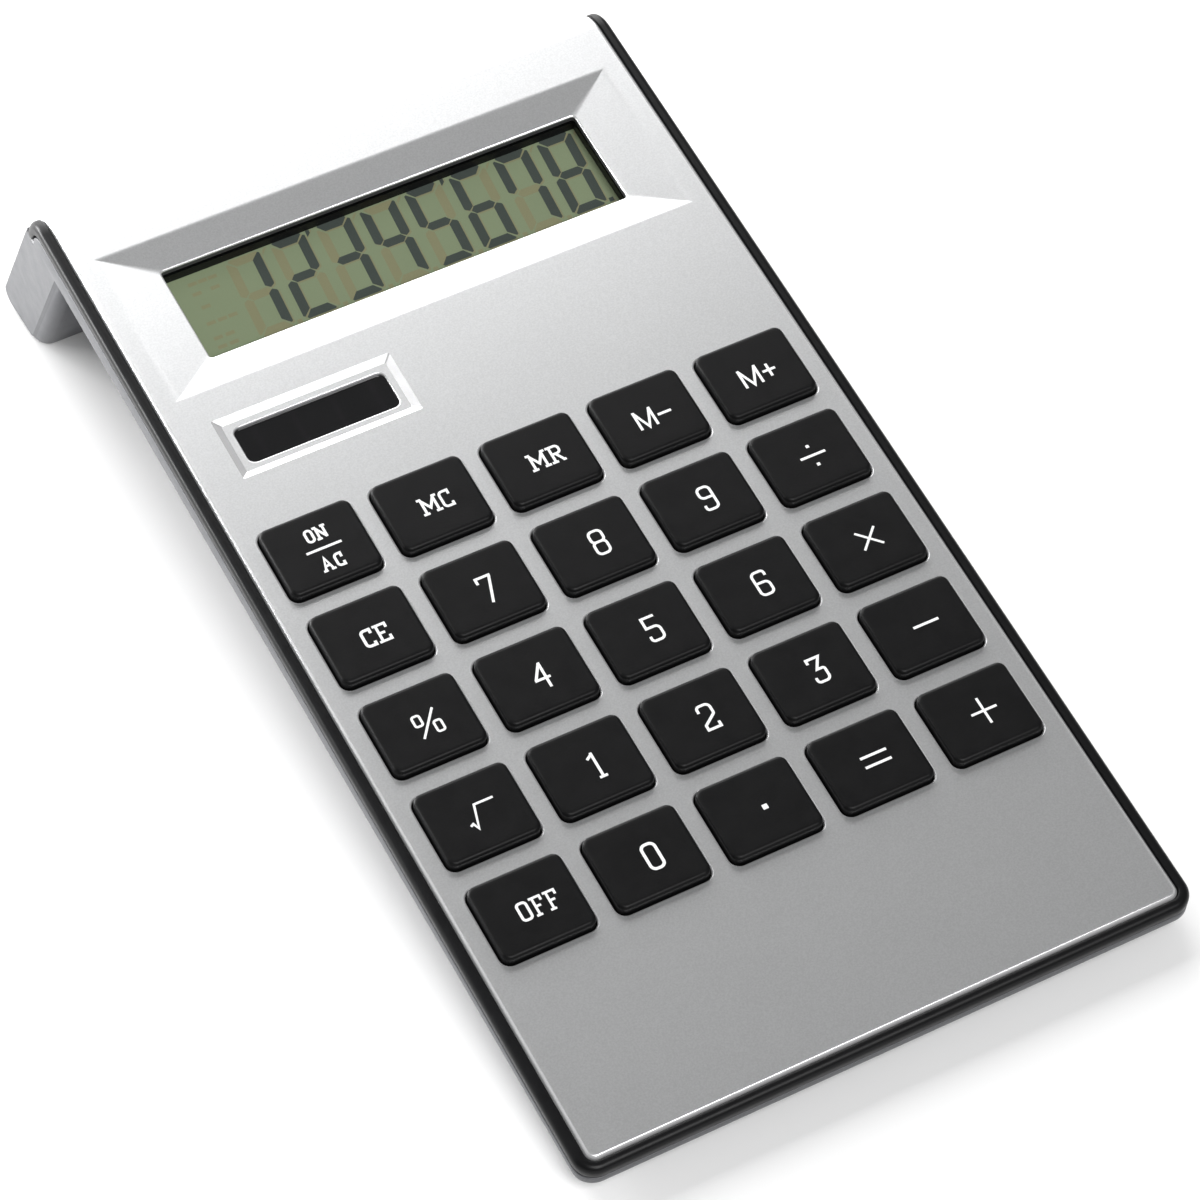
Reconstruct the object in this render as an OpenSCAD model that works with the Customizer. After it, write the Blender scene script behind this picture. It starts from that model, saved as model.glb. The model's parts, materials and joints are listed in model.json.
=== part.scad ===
// Desk calculator with a sloping slab, a full-width rear foot and a five by five key field.
// Millimetres. +X right, +Y towards the rear foot, +Z up. The origin is the middle of the
// footprint on the desk. Most pieces are drawn in the plate frame: its z = 0 is the flat top
// of the front panel and its origin is the centre of the key field; tilted() sets it on the desk.

/* [Keys] */
// Width of a key cap
key_w = 15; // [12:0.1:18]
// Depth of a key cap, front to rear
key_d = 13; // [10:0.1:16]
// Space between two key caps, left to right
key_space_x = 3.5; // [3:0.1:5]
// Space between two key caps, front to rear
key_space_y = 4; // [3:0.1:6]
// Height of a key top above the panel
key_rise = 1.5; // [0.8:0.1:2.5]
// Travel of a key
key_travel = 1.2; // [0.6:0.1:1.5]
// Corner radius of a key cap, seen from above
key_corner_r = 1.4; // [0.5:0.1:3]
// Radius of the rounded edge round a key top
key_edge_r = 0.6; // [0.2:0.1:0.9]
// Clearance between a key and its opening
key_gap = 0.25; // [0.15:0.05:0.4]

/* [Panel] */
// Panel beside the key field
side_margin = 3.6; // [2:0.1:12]
// Panel in front of the key field
front_margin = 32.3; // [20:0.1:60]
// Thickness of the panel
panel_t = 1; // [0.8:0.1:1.6]
// Corner radius of the panel
panel_corner_r = 1.6; // [0.5:0.1:3]
// Chamfer round the panel edge
panel_chamfer = 0.5; // [0.2:0.1:0.7]

/* [Display] */
// Width of the display opening
window_w = 72.2; // [50:0.1:90]
// Depth of the display opening, front to rear
window_d = 18.1; // [12:0.1:24]
// From the rear edge of the key field to the middle of the display
window_from_keys = 42.55; // [38:0.05:60]
// Width of the sloping facets at the sides of the display
bezel_side = 8.3; // [4:0.1:12]
// Width of the sloping facets in front of and behind the display
bezel_end = 5.75; // [3:0.05:9]
// Depth of the sloping facets
bezel_drop = 0.93; // [0.4:0.01:1.3]
// Thickness of the display
lcd_t = 1.9; // [1.4:0.1:2.6]

/* [Solar cell] */
// Width of the solar opening
solar_w = 25.4; // [18:0.1:32]
// Depth of the solar opening, front to rear
solar_d = 6.9; // [5:0.1:9]
// Corner radius of the opening over the solar cell
solar_corner_r = 1.2; // [0.5:0.1:3]
// From the rear edge of the key field to the middle of the solar opening
solar_from_keys = 16.2; // [13:0.1:20]
// From the middle of the body to the middle of the solar opening
solar_from_middle = 26.5; // [20:0.1:28]

/* [Case] */
// Width of the black rim beside the panel
rim_w = 1.9; // [1.5:0.1:4]
// Corner radius of the case, seen from above
case_corner_r = 3.4; // [2:0.1:6]
// Height of the black side
rim_h = 2.2; // [2.2:0.1:3]
// Groove between the black housing and the shell below it
groove = 0.4; // [0.2:0.1:0.8]
// Wall of the lower shell
shell_wall = 1.6; // [1.2:0.1:2.2]
// Depth of the underside below the panel top
belly_depth = 12.3; // [11.5:0.1:16]
// Radius of the bend at the rear of the panel
curl_r = 6; // [4.5:0.1:9]

/* [Rear foot] */
// Slope of the panel on the desk, in degrees
tilt = 8.8; // [6:0.1:12]
// Lean of the foot away from square to the panel, in degrees
foot_lean = 22; // [10:1:30]
// Length of the foot down its rear face
foot_len = 36; // [28:0.5:50]
// Thickness of the foot
foot_t = 13; // [9:0.1:18]
// Corner radius at the bottom of the foot
foot_r = 2; // [1:0.1:4]
// Radius of the upright front edges of the foot
foot_side_r = 2.4; // [1:0.1:5]
// Height that the rubber under the foot stands proud
pad_h = 0.5; // [0.3:0.1:1.5]
// Height of the front edge above the desk
front_gap = 2; // [0.6:0.1:3]

/* [Battery] */
// Diameter of the button cell
cell_dia = 11.6; // [7.9:0.1:16]
// Height of the button cell
cell_h = 3.05; // [2:0.05:3.6]
// Travel of the battery door before it lifts off
door_travel = 3; // [2:0.1:5]
// Thickness of the battery door
door_t = 1.3; // [1:0.1:1.8]
// Clearance round the battery door
door_gap = 0.25; // [0.15:0.05:0.4]

/* [Hidden] */
COLS = 5;
ROWS = 5;
$fn = 48;
ARC_STEPS = 14;
PART_GAP = 0.05;      // between pieces that seat on each other
FAR = 400;
OVER = 9;             // how far a cutting outline runs past the piece it cuts
pitch_x = key_w + key_space_x;
pitch_y = key_d + key_space_y;
field_w = (COLS - 1) * pitch_x + key_w;
field_rear = ((ROWS - 1) * pitch_y + key_d) / 2;
panel_w = max(field_w, window_w + 2 * bezel_side) + 2 * side_margin;
panel_front = -field_rear - front_margin;
body_w = panel_w + 2 * rim_w;
body_front = panel_front - rim_w + 0.1;
window_y = field_rear + window_from_keys;
window_inset = -panel_t - 1;                     // underside of the thick display surround
curl_y = window_y + window_d / 2 + bezel_end + 8.1;
solar_x = -solar_from_middle;
solar_y = field_rear + solar_from_keys;
solar_bevel = 1.2;
solar_ledge = 1.15;
solar_drop = 0.5;

// Levels in the plate frame, from the top down
rim_top = -0.15;
shoulder_r = 1.1;
deck_top = -panel_t - PART_GAP;
deck_t = 1.2;
deck_bottom = deck_top - deck_t;
shell_top = -rim_h - groove;
skirt_bottom = -3.2;
flange_gap = 0.15;
flange_t = 0.8;
flange_out = 0.5;
flange_top = deck_bottom - flange_gap;
flange_bottom = flange_top - flange_t;
post_bottom = flange_bottom - 0.2;
dome_top = post_bottom - PART_GAP;
mat_top = flange_bottom - key_travel - 0.5;
mat_t = 0.55;
board_top = mat_top - mat_t - PART_GAP;
board_t = 1.2;
board_bottom = board_top - board_t;
belly = -belly_depth;
floor_in = belly + shell_wall;

// Rear bend: a is the angle turned from the flat panel, d the depth below its surface
bend = 90 - foot_lean;
function on_curl(a, d) = [curl_y + (curl_r - d) * sin(a), -curl_r + (curl_r - d) * cos(a)];
down = [cos(bend), -sin(bend)];                  // down the rear face
out = [sin(bend), cos(bend)];                    // out of the rear face
rear_top = on_curl(bend, 0);
function on_rear(s, d) = rear_top + s * down - d * out;
function arc_down(d, a = bend) = [for (k = [0 : ARC_STEPS]) on_curl(a * k / ARC_STEPS, d)];
function arc_up(d, a = bend) = [for (k = [ARC_STEPS : -1 : 0]) on_curl(a * k / ARC_STEPS, d)];
rim_rear = 1.6;                                  // black rim down the rear face
shell_rear = rim_rear + groove;                  // where the shell starts down the rear face
panel_bend = bend - 6;                           // the panel stops short of the rear face

// The desk, in the plate frame
lift = pad_h - on_rear(foot_len, 0)[0] * sin(tilt) - on_rear(foot_len, 0)[1] * cos(tilt);
function height(p) = p[0] * sin(tilt) + p[1] * cos(tilt) + lift;
function above_desk(y, h) = (h - lift - y * sin(tilt)) / cos(tilt);
belly_y = (front_gap - lift - belly * cos(tilt)) / sin(tilt);

// Where a line down the foot, d inside the rear face, comes within h of the desk
function reach(d, h) = (height(on_rear(0, d)) - h) / -(down[0] * sin(tilt) + down[1] * cos(tilt));
heel = on_rear(reach(foot_r, pad_h + foot_r), foot_r);
row_rear = heel[0] * cos(tilt) - heel[1] * sin(tilt) + foot_r;
row_front = (body_front + shoulder_r) * cos(tilt) - (rim_top - shoulder_r) * sin(tilt) - shoulder_r;
mid_y = (row_rear + row_front) / 2;

// The visible side of the lower shell grows deeper towards the rear
side_front_z = above_desk(body_front, front_gap);
side_slope = 0.85;
toe_edge_r = min(1.5, 0.75 * (shell_top - side_front_z));
flank = 50;                                      // slope of the underside flanks, in degrees

// Fasteners and their bosses, in the plate frame
front_screw = [35, body_front + 12.6];
mid_screw = [35, field_rear + 7.7];
case_screws_at = [for (x = [-1, 1]) each [[x * front_screw[0], front_screw[1], 0],
    [x * mid_screw[0], mid_screw[1], 1]]];
screw_r = 1;
pilot_r = screw_r + 0.02;
boss_r = 2.5;
head_r = 2;
head_h = 1.2;
bore_r = head_r + 0.2;
function head_seat(deep) = deep ? -7 : above_desk(front_screw[1], front_gap) + 1.6;
function boss_split(deep) = deep ? -5 : head_seat(false) + 1.1;
board_screws_at = [for (x = [-1.5, 1.5], y = [-1.5, 1.5]) [x * pitch_x, y * pitch_y]];
board_boss_r = 1.8;

// Board and mat
board_w = COLS * pitch_x - 5.5;
board_front = -field_rear - 3;
board_rear = field_rear + 4.2;
mat_w = board_w - 1;
mat_rear = field_rear + 1.1;

// Display stack
lens_t = 0.9;
lens_top = window_inset - PART_GAP;
frame_t = 1.65;
frame_top = lens_top - lens_t - PART_GAP;
lcd_top = frame_top - frame_t - PART_GAP;
lcd_w = window_w + 1.8;
lcd_d = window_d + 4;
lcd_ledge = 3;
lcd_glass_t = lcd_t / 2;
lcd_front = window_y - lcd_d / 2 - lcd_ledge;
reflector_top = lcd_top - lcd_t - PART_GAP;
reflector_t = 0.15;
ribbon_w = 54;
ribbon_t = 0.15;

// Battery
cell_x = 22;
cell_y = solar_y + 5.3;
cell_gap = 0.2;
well_wall = 1.2;
door_w = cell_dia + 10.4;
door_d = cell_dia + 6.4;
door_y = cell_y;
well_floor = belly + door_t + PART_GAP + 0.1;    // inner face of the door pocket
pocket_t = 1.5;
cell_bottom = well_floor + 0.05;
cell_top = cell_bottom + cell_h;
contact_t = 0.25;
roof_bottom = cell_top + 0.45;
roof_t = 1.2;
tongue_w = 14;
tongue_l = 1.2;
tongue_t = 0.6;

// Rubber feet
foot_pad_r = 4.5;
foot_pad_sink = 0.8;
front_pads_at = [for (x = [-1, 1]) [x * 24, body_front + 17]];
rear_pad = [22, 6];
rear_pads_x = [-32, 32];

KEYS = [
    ["key_on_ac", 0, 0], ["key_mc", 1, 0], ["key_mr", 2, 0], ["key_m_minus", 3, 0], ["key_m_plus", 4, 0],
    ["key_ce", 0, 1], ["key_7", 1, 1], ["key_8", 2, 1], ["key_9", 3, 1], ["key_divide", 4, 1],
    ["key_percent", 0, 2], ["key_4", 1, 2], ["key_5", 2, 2], ["key_6", 3, 2], ["key_multiply", 4, 2],
    ["key_root", 0, 3], ["key_1", 1, 3], ["key_2", 2, 3], ["key_3", 3, 3], ["key_minus", 4, 3],
    ["key_off", 0, 4], ["key_0", 1, 4], ["key_point", 2, 4], ["key_equals", 3, 4], ["key_plus", 4, 4]
];

// ---- Helpers ----

function key_x(col) = (col - (COLS - 1) / 2) * pitch_x;
function key_y(row) = ((ROWS - 1) / 2 - row) * pitch_y;
function unit(v) = v / norm(v);
// One corner of an outline, rounded to radius r
function corner(p, q, s, r) =
    let (a = unit(p - q), b = unit(s - q), half = acos(a * b) / 2)
    let (c = q + unit(a + b) * r / sin(half), t0 = q + a * r / tan(half) - c, t1 = q + b * r / tan(half) - c)
    let (a0 = atan2(t0[1], t0[0]), turn = atan2(t0[0] * t1[1] - t0[1] * t1[0], t0 * t1))
    r == 0 ? [q] : [for (k = [0 : 6]) c + r * [cos(a0 + turn * k / 6), sin(a0 + turn * k / 6)]];
// An outline of [y, z, radius] points with its corners rounded
function rounded(pts) = [for (i = [0 : len(pts) - 1])
    let (n = len(pts), p = pts[(i + n - 1) % n], q = pts[i], s = pts[(i + 1) % n])
    each corner([p[0], p[1]], [q[0], q[1]], [s[0], s[1]], q[2])];
function flat(pts) = [for (p = pts) [p[0], p[1], 0]];

module tilted() {
    translate([0, -mid_y, lift]) rotate([tilt, 0, 0]) children();
}

// Extrude a side outline of [y, z] points across the body
module across(w) {
    rotate([90, 0, 90]) translate([0, 0, -w / 2]) linear_extrude(w) children();
}

module rounded_rect(w, d, r) {
    square([w - 2 * r, d], center = true);
    square([w, d - 2 * r], center = true);
    for (x = [-1, 1], y = [-1, 1]) translate([x * (w / 2 - r), y * (d / 2 - r)]) circle(r);
}

// A plate between two levels
module slab(z0, z1) {
    translate([0, 0, z0]) linear_extrude(z1 - z0) children();
}

// Outline with rounded front corners and an open rear
module plan(w, front, r) {
    difference() {
        translate([-w / 2, front]) square([w, FAR]);
        for (x = [-1, 1]) translate([x * w / 2, front]) square(2 * r, center = true);
    }
    for (x = [-1, 1]) translate([x * (w / 2 - r), front + r]) circle(r);
}

module at_keys() {
    for (c = [0 : COLS - 1], r = [0 : ROWS - 1]) translate([key_x(c), key_y(r), 0]) children();
}

module key_openings(z0, z1) {
    at_keys() slab(z0, z1) rounded_rect(key_w + 2 * key_gap, key_d + 2 * key_gap, key_corner_r + key_gap);
}

// A pocket whose four sides slope from the outer size at the top to the inner size
module sloping_pocket(w, d, side, end, drop) {
    hw = w / 2;
    hd = d / 2;
    hull() {
        translate([-hw, -hd, -drop]) cube([w, d, 0.001]);
        translate([-hw - side, -hd - end, 0]) cube([w + 2 * side, d + 2 * end, 0.001]);
    }
    translate([-hw - side, -hd - end, 0]) cube([w + 2 * side, d + 2 * end, 2]);
}

// ---- Case ----

module front_panel() {
    skin = concat([[panel_front, -panel_t], [panel_front, -panel_chamfer], [panel_front + panel_chamfer, 0]],
        arc_down(0, panel_bend), arc_up(panel_t, panel_bend));
    color("silver") tilted() difference() {
        union() {
            intersection() {
                across(panel_w) polygon(skin);
                slab(-curl_r - 5, 1) plan(panel_w, panel_front, panel_corner_r);
                translate([0, FAR / 2, 0]) rotate([90, 0, 0]) linear_extrude(FAR) polygon([
                    [-panel_w / 2, -FAR / 8], [panel_w / 2, -FAR / 8], [panel_w / 2, -panel_chamfer],
                    [panel_w / 2 - panel_chamfer, 0], [-panel_w / 2 + panel_chamfer, 0],
                    [-panel_w / 2, -panel_chamfer]]);
            }
            translate([0, window_y, 0]) slab(window_inset, -panel_t + 0.1)
                square([window_w + 2 * bezel_side + 1.6, window_d + 2 * bezel_end + 1.6], center = true);
        }
        key_openings(-3, 3);
        translate([0, window_y, 0]) sloping_pocket(window_w, window_d, bezel_side, bezel_end, bezel_drop);
        translate([0, window_y, 0]) slab(-3, 1) square([window_w, window_d], center = true);
        translate([solar_x, solar_y, 0]) sloping_pocket(solar_w + 2 * solar_ledge, solar_d + 2 * solar_ledge,
            solar_bevel, solar_bevel, solar_drop);
        translate([solar_x, solar_y, 0]) slab(-3, 1) rounded_rect(solar_w, solar_d, solar_corner_r);
    }
}

module upper_housing() {
    top_line = concat([[body_front, -rim_h, 0], [body_front, rim_top, shoulder_r]],
        flat(arc_down(-rim_top)), flat([on_rear(rim_rear, -rim_top)]));
    under_line = flat(concat([on_rear(rim_rear, -deck_bottom)], arc_up(-deck_bottom)));
    pocket_end = on_curl(panel_bend + 2, -3);
    tongue_s = shell_rear + 2;                       // the tongue reaches down inside the shell's rear wall
    pocket = concat([[panel_front - 0.2, deck_top]], arc_down(-deck_top, panel_bend + 2),
        [pocket_end, [pocket_end[0], 4], [panel_front - 0.2, 4]]);
    color("black") tilted() difference() {
        union() {
            intersection() {
                across(body_w) polygon(rounded(concat(top_line, under_line)));
                slab(-curl_r - 8, 1) plan(body_w, body_front, case_corner_r);
                translate([0, FAR / 2, 0]) rotate([90, 0, 0]) linear_extrude(FAR) polygon(rounded([
                    [-body_w / 2, -FAR / 8, 0], [body_w / 2, -FAR / 8, 0], [body_w / 2, rim_top, shoulder_r],
                    [-body_w / 2, rim_top, shoulder_r]]));
            }
            intersection() {
                slab(skirt_bottom, deck_bottom + 0.1) difference() {
                    plan(body_w - 2 * rim_w + 0.2, body_front + shell_wall + 0.2, case_corner_r - 1.5);
                    plan(body_w - 2 * rim_w - 2.6, body_front + shell_wall + 1.6, 1);
                }
                across(FAR) polygon([                // it stays above the sloping floor of the shell
                    for (y = [body_front, curl_y]) [y, above_desk(y, front_gap + shell_wall) + PART_GAP],
                    [curl_y, OVER], [body_front, OVER]]);
            }
            across(body_w - 2 * shell_wall - 1)
                polygon([for (p = [[0.4, 0], [tongue_s, 0], [tongue_s, 1], [0.4, 1]])
                    on_rear(p[0], shell_wall + 0.35 + p[1])]);
            for (s = case_screws_at) translate([s[0], s[1], boss_split(s[2])])
                cylinder(r = boss_r, h = deck_top - 0.2 - boss_split(s[2]));
            for (s = board_screws_at) translate([s[0], s[1], board_top + PART_GAP])
                cylinder(r = board_boss_r, h = deck_top - 0.2 - board_top - PART_GAP);
        }
        intersection() {
            across(panel_w + 0.4) polygon(pocket);
            slab(-curl_r - 8, 4) plan(panel_w + 0.4, panel_front - 0.2, panel_corner_r + 0.2);
        }
        key_openings(-3, 3);
        translate([0, window_y, 0]) slab(-4, 1)
            square([window_w + 2 * bezel_side + 2, window_d + 2 * bezel_end + 2], center = true);
        translate([solar_x, solar_y, 0]) slab(-4, 1)
            square([solar_w + 2 * solar_ledge + 2.6, solar_d + 2 * solar_ledge + 2.6], center = true);
        for (s = case_screws_at) translate([s[0], s[1], boss_split(s[2]) - 1])
            cylinder(r = pilot_r, h = -2.4 - boss_split(s[2]) + 1);
        for (s = board_screws_at) translate([s[0], s[1], board_top - 1]) cylinder(r = pilot_r, h = 3.2);
    }
}

// Side outline of the lower shell without the foot, set in by t
function shell_line(t) = [
    [body_front + t, shell_top + (t > 0 ? OVER : 0), 0],
    [body_front + t, above_desk(body_front + t, front_gap + t), t > 0 ? 0.3 : toe_edge_r],
    [belly_y, belly + t, 0],
    [on_rear(0, foot_t)[0], belly + t, 0]
];

module boat(t) {
    z0 = t * tan(flank / 2);
    w = body_w / 2 - t;
    drop = 30;
    translate([0, body_front, side_front_z]) rotate([-side_slope, 0, 0])
        translate([0, FAR * 3 / 4, 0]) rotate([90, 0, 0]) linear_extrude(FAR) polygon([
            [-w, FAR / 8], [-w, z0], [-w + drop * tan(flank), z0 - drop], [w - drop * tan(flank), z0 - drop],
            [w, z0], [w, FAR / 8]]);
}

// Where the front face of the foot, d inside its rear face, comes up to the height z
function on_front(z, d) = on_rear((z - on_rear(0, d)[1]) / (on_rear(1, 0)[1] - on_rear(0, 0)[1]), d);

// The foot, set in by t; it runs on up into the slab so that their sides are one face
toe_share = 0.65;                                // the toe is rounded less than the heel
module foot_block(t) {
    top_s = t > 0 ? 0.4 : shell_rear;
    rear = on_rear(top_s, t);
    shelf = on_rear(top_s, groove - shell_top);      // the rim of the housing comes down outside this
    front = on_front(shell_top - 0.4 - t, foot_t - t);
    bar = rounded([
        [rear[0], rear[1], 0],
        [shelf[0], shelf[1], 0],
        [front[0], front[1], 0],
        [toe_at(t)[0], toe_at(t)[1], max(foot_r * toe_share - t * 0.9, 0)],
        [heel_in(t)[0], heel_in(t)[1], max(foot_r - t * 0.9, 0)]
    ]);
    intersection() {
        across(body_w - 2 * t) polygon(bar);
        translate([0, rear_top[0], rear_top[1]]) rotate([foot_lean, 0, 0]) translate([0, 0, -foot_len - 20])
            linear_extrude(foot_len + 40) union() {
                translate([-body_w / 2 + t, -foot_t / 2]) square([body_w - 2 * t, foot_t / 2 - t]);
                translate([0, -foot_t / 2])
                    rounded_rect(body_w - 2 * t, foot_t - 2 * t, max(foot_side_r - t * 0.9, 0.1));
            }
    }
}

function heel_in(t) = on_rear(reach(t, pad_h + t), t);
function toe_at(t) = on_rear(reach(foot_t - t, pad_h + t), foot_t - t);

module lower_shell() {
    foot_root = on_rear(8, 3);                       // the slab outline ends inside the foot
    wall_top = on_rear(shell_rear, shell_wall + 0.2);
    top_line = concat([on_rear(shell_rear, 0), on_rear(shell_rear, groove - shell_top)], arc_up(-shell_top));
    outer = rounded(concat(shell_line(0), flat([foot_root]), flat(top_line)));
    inner = rounded(concat(shell_line(shell_wall), flat([on_rear(6, 3), wall_top, [wall_top[0], OVER]])));
    well_top = roof_bottom + roof_t;
    color("darkgray") tilted() difference() {
        union() {
            difference() {
                union() {
                    intersection() {
                        across(body_w) polygon(outer);
                        slab(-FAR / 2, 4) plan(body_w, body_front, case_corner_r);
                        boat(0);
                    }
                    foot_block(0);
                }
                intersection() {
                    across(body_w - 2 * shell_wall) polygon(inner);
                    slab(-FAR / 2, 10)
                        plan(body_w - 2 * shell_wall, body_front + shell_wall, case_corner_r - shell_wall);
                    boat(shell_wall);
                }
                foot_block(shell_wall + 0.2);
            }
            for (s = case_screws_at) translate([s[0], s[1], head_seat(s[2]) - 0.6])
                cylinder(r = bore_r + 1, h = boss_split(s[2]) - PART_GAP - head_seat(s[2]) + 0.6);
            for (s = case_screws_at) if (s[2]) translate([s[0], s[1], belly + 0.3])
                cylinder(r = bore_r + 1, h = head_seat(true) - belly);
            translate([cell_x, cell_y, belly + 0.2])
                cylinder(d = cell_dia + 2 * cell_gap + 2 * well_wall, h = well_top - belly - 0.2);
            translate([cell_x, door_y + door_travel / 2, 0]) slab(belly + 0.2, well_floor + pocket_t)
                square([door_w + 2 * door_gap + 3, door_d + 2 * door_gap + door_travel + 5], center = true);
            for (x = [-30, 30]) translate([x - 0.6, window_y - 8, floor_in - 0.2])
                cube([1.2, 16, reflector_top - reflector_t - PART_GAP - floor_in + 0.2]);
        }
        for (s = case_screws_at) translate([s[0], s[1], belly - 1]) {
            cylinder(r = bore_r, h = head_seat(s[2]) - belly + 1);
            cylinder(r = screw_r + 0.2, h = boss_split(s[2]) - belly + 2);
        }
        translate([cell_x, cell_y, belly - 1])
            cylinder(d = cell_dia + 2 * cell_gap, h = roof_bottom - belly + 1);
        translate([cell_x, door_y + (door_travel + door_gap) / 2, 0]) slab(belly - 1, well_floor)
            rounded_rect(door_w + 2 * door_gap, door_d + 2 * door_gap + door_travel, 1);
        translate([cell_x, door_y - door_d / 2 - tongue_l / 2, 0])
            slab(well_floor - tongue_t - 0.2, well_floor)
                square([tongue_w + 0.6, tongue_l + 2 * door_gap + 0.6], center = true);
        translate([cell_x + cell_dia / 2 - 0.5, cell_y - 2.5, well_floor + pocket_t]) cube([2.6, 5, 3]);
        translate([cell_x - 2.8, cell_y - cell_dia, cell_top + 0.1])
            cube([5.6, cell_dia, roof_bottom - cell_top - 0.1]);
        rotate([-tilt, 0, 0]) translate([0, mid_y, -lift]) union() {
            front_pad_cuts();
            rear_pad_cuts();
        }
    }
}

function row_y(p) = p[1] * cos(tilt) - above_desk(p[1], front_gap) * sin(tilt) - mid_y;
rear_pad_y = (heel_in(0)[0] * cos(tilt) - heel_in(0)[1] * sin(tilt)
    + toe_at(0)[0] * cos(tilt) - toe_at(0)[1] * sin(tilt)) / 2 - mid_y;

module front_pad_cuts() {
    for (p = front_pads_at) translate([p[0], row_y(p), -1])
        cylinder(r = foot_pad_r + 0.2, h = front_gap + foot_pad_sink + 1 + PART_GAP);
}

module rear_pad_cuts() {
    for (x = rear_pads_x) translate([x, rear_pad_y, 0]) slab(-1, pad_h + foot_pad_sink + PART_GAP)
        rounded_rect(rear_pad[0] + 0.4, rear_pad[1] + 0.4, 1.2);
}

module front_feet() {
    color("dimgray") for (p = front_pads_at) translate([p[0], row_y(p), 0])
        cylinder(r = foot_pad_r, h = front_gap + foot_pad_sink);
}

module rear_feet() {
    color("dimgray") for (x = rear_pads_x) translate([x, rear_pad_y, 0]) slab(0, pad_h + foot_pad_sink)
        rounded_rect(rear_pad[0], rear_pad[1], 1);
}

module case_screws() {
    color("gray") tilted() for (s = case_screws_at) translate([s[0], s[1], 0])
        screw(head_seat(s[2]), -2.5);
}

module board_screws() {
    color("gray") tilted() for (s = board_screws_at) translate([s[0], s[1], 0])
        screw(board_bottom - PART_GAP, board_top + 2);
}

// A pan-head screw that points up, its head seated below the level seat
module screw(seat, tip) {
    difference() {
        union() {
            translate([0, 0, seat - head_h]) cylinder(r = head_r, h = head_h);
            translate([0, 0, seat - 0.01]) cylinder(r = screw_r, h = tip - seat);
        }
        for (a = [0, 90]) rotate([0, 0, a]) translate([-1.2, -0.25, seat - head_h - 0.01])
            cube([2.4, 0.5, 0.7]);
    }
}

// ---- Display ----

module display_window() {
    color("lightgray", 0.4) tilted() translate([0, window_y, 0]) slab(lens_top - lens_t, lens_top)
        rounded_rect(window_w + 3, window_d + 4, 1);
}

module display_frame() {
    color("black") tilted() translate([0, window_y, 0]) slab(frame_top - frame_t, frame_top) difference() {
        rounded_rect(window_w + 4, window_d + 5.4, 1);
        square([window_w + 0.4, window_d + 0.4], center = true);
    }
}

module lcd_panel() {
    color("darkkhaki") tilted() {
        translate([-lcd_w / 2, lcd_front, lcd_top - lcd_glass_t])
            cube([lcd_w, lcd_d + lcd_ledge, lcd_glass_t]);
        translate([-lcd_w / 2, lcd_front + lcd_ledge, lcd_top - lcd_t]) cube([lcd_w, lcd_d, lcd_t]);
    }
}

module lcd_reflector() {
    color("lightgray") tilted() translate([0, window_y, 0]) slab(reflector_top - reflector_t, reflector_top)
        square([lcd_w - 1, lcd_d - 1], center = true);
}

module lcd_ribbon() {
    a = [lcd_front + lcd_ledge - 0.4, lcd_top - lcd_glass_t - PART_GAP];
    b = [lcd_front + 0.2, lcd_top - lcd_glass_t - PART_GAP];
    c = [board_rear, board_top + PART_GAP + ribbon_t];
    d = [board_rear - 2.6, board_top + PART_GAP + ribbon_t];
    t = [0, ribbon_t];
    color("khaki") tilted() across(ribbon_w) polygon([a, b, c, d, d - t, c - t, b - t, a - t]);
}

// ---- Solar cell ----

module solar_window() {
    color("black") tilted() translate([solar_x, solar_y, 0]) slab(deck_top - 0.9, deck_top)
        rounded_rect(solar_w + 3.6, solar_d + 3.6, 1);
}

module solar_cell() {
    color("maroon") tilted() translate([solar_x, solar_y, 0]) slab(deck_top - 2.05, deck_top - 0.95)
        square([solar_w + 1.6, solar_d + 1.6], center = true);
}

// ---- Keys, mat and board ----

module key(col, row) {
    top = key_rise;
    color("black") tilted() translate([key_x(col), key_y(row), 0]) {
        intersection() {
            slab(flange_top, top) rounded_rect(key_w, key_d, key_corner_r);
            across(key_w) edge_outline(key_d, top);
            rotate([0, 0, 90]) across(key_d) edge_outline(key_w, top);
        }
        slab(flange_bottom, flange_top) rounded_rect(key_w + 2 * flange_out, key_d + 2 * flange_out, 1);
        slab(post_bottom, flange_bottom) circle(3);
    }
}

// Side outline of a key cap with two rounded top edges
module edge_outline(w, top) {
    translate([-w / 2, flange_top]) square([w, top - key_edge_r - flange_top]);
    translate([-w / 2 + key_edge_r, flange_top]) square([w - 2 * key_edge_r, top - flange_top]);
    for (s = [-1, 1]) translate([s * (w / 2 - key_edge_r), top - key_edge_r]) circle(key_edge_r);
}

module keypad_mat() {
    dome_r = min(key_w, key_d) / 2 - 2;
    color("gainsboro") tilted() difference() {
        union() {
            translate([-mat_w / 2, board_front + 0.5, mat_top - mat_t])
                cube([mat_w, mat_rear - board_front - 0.5, mat_t]);
            at_keys() translate([0, 0, mat_top - 0.05])
                cylinder(r1 = dome_r, r2 = 2.6, h = dome_top - mat_top + 0.05);
        }
        at_keys() translate([0, 0, mat_top - mat_t - 0.5])
            cylinder(r1 = dome_r - 0.4, r2 = 1.8, h = dome_top - mat_top + mat_t - 0.1);
        for (s = board_screws_at) translate([s[0], s[1], mat_top - 2])
            cylinder(r = board_boss_r + 0.3, h = 4);
    }
}

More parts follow.
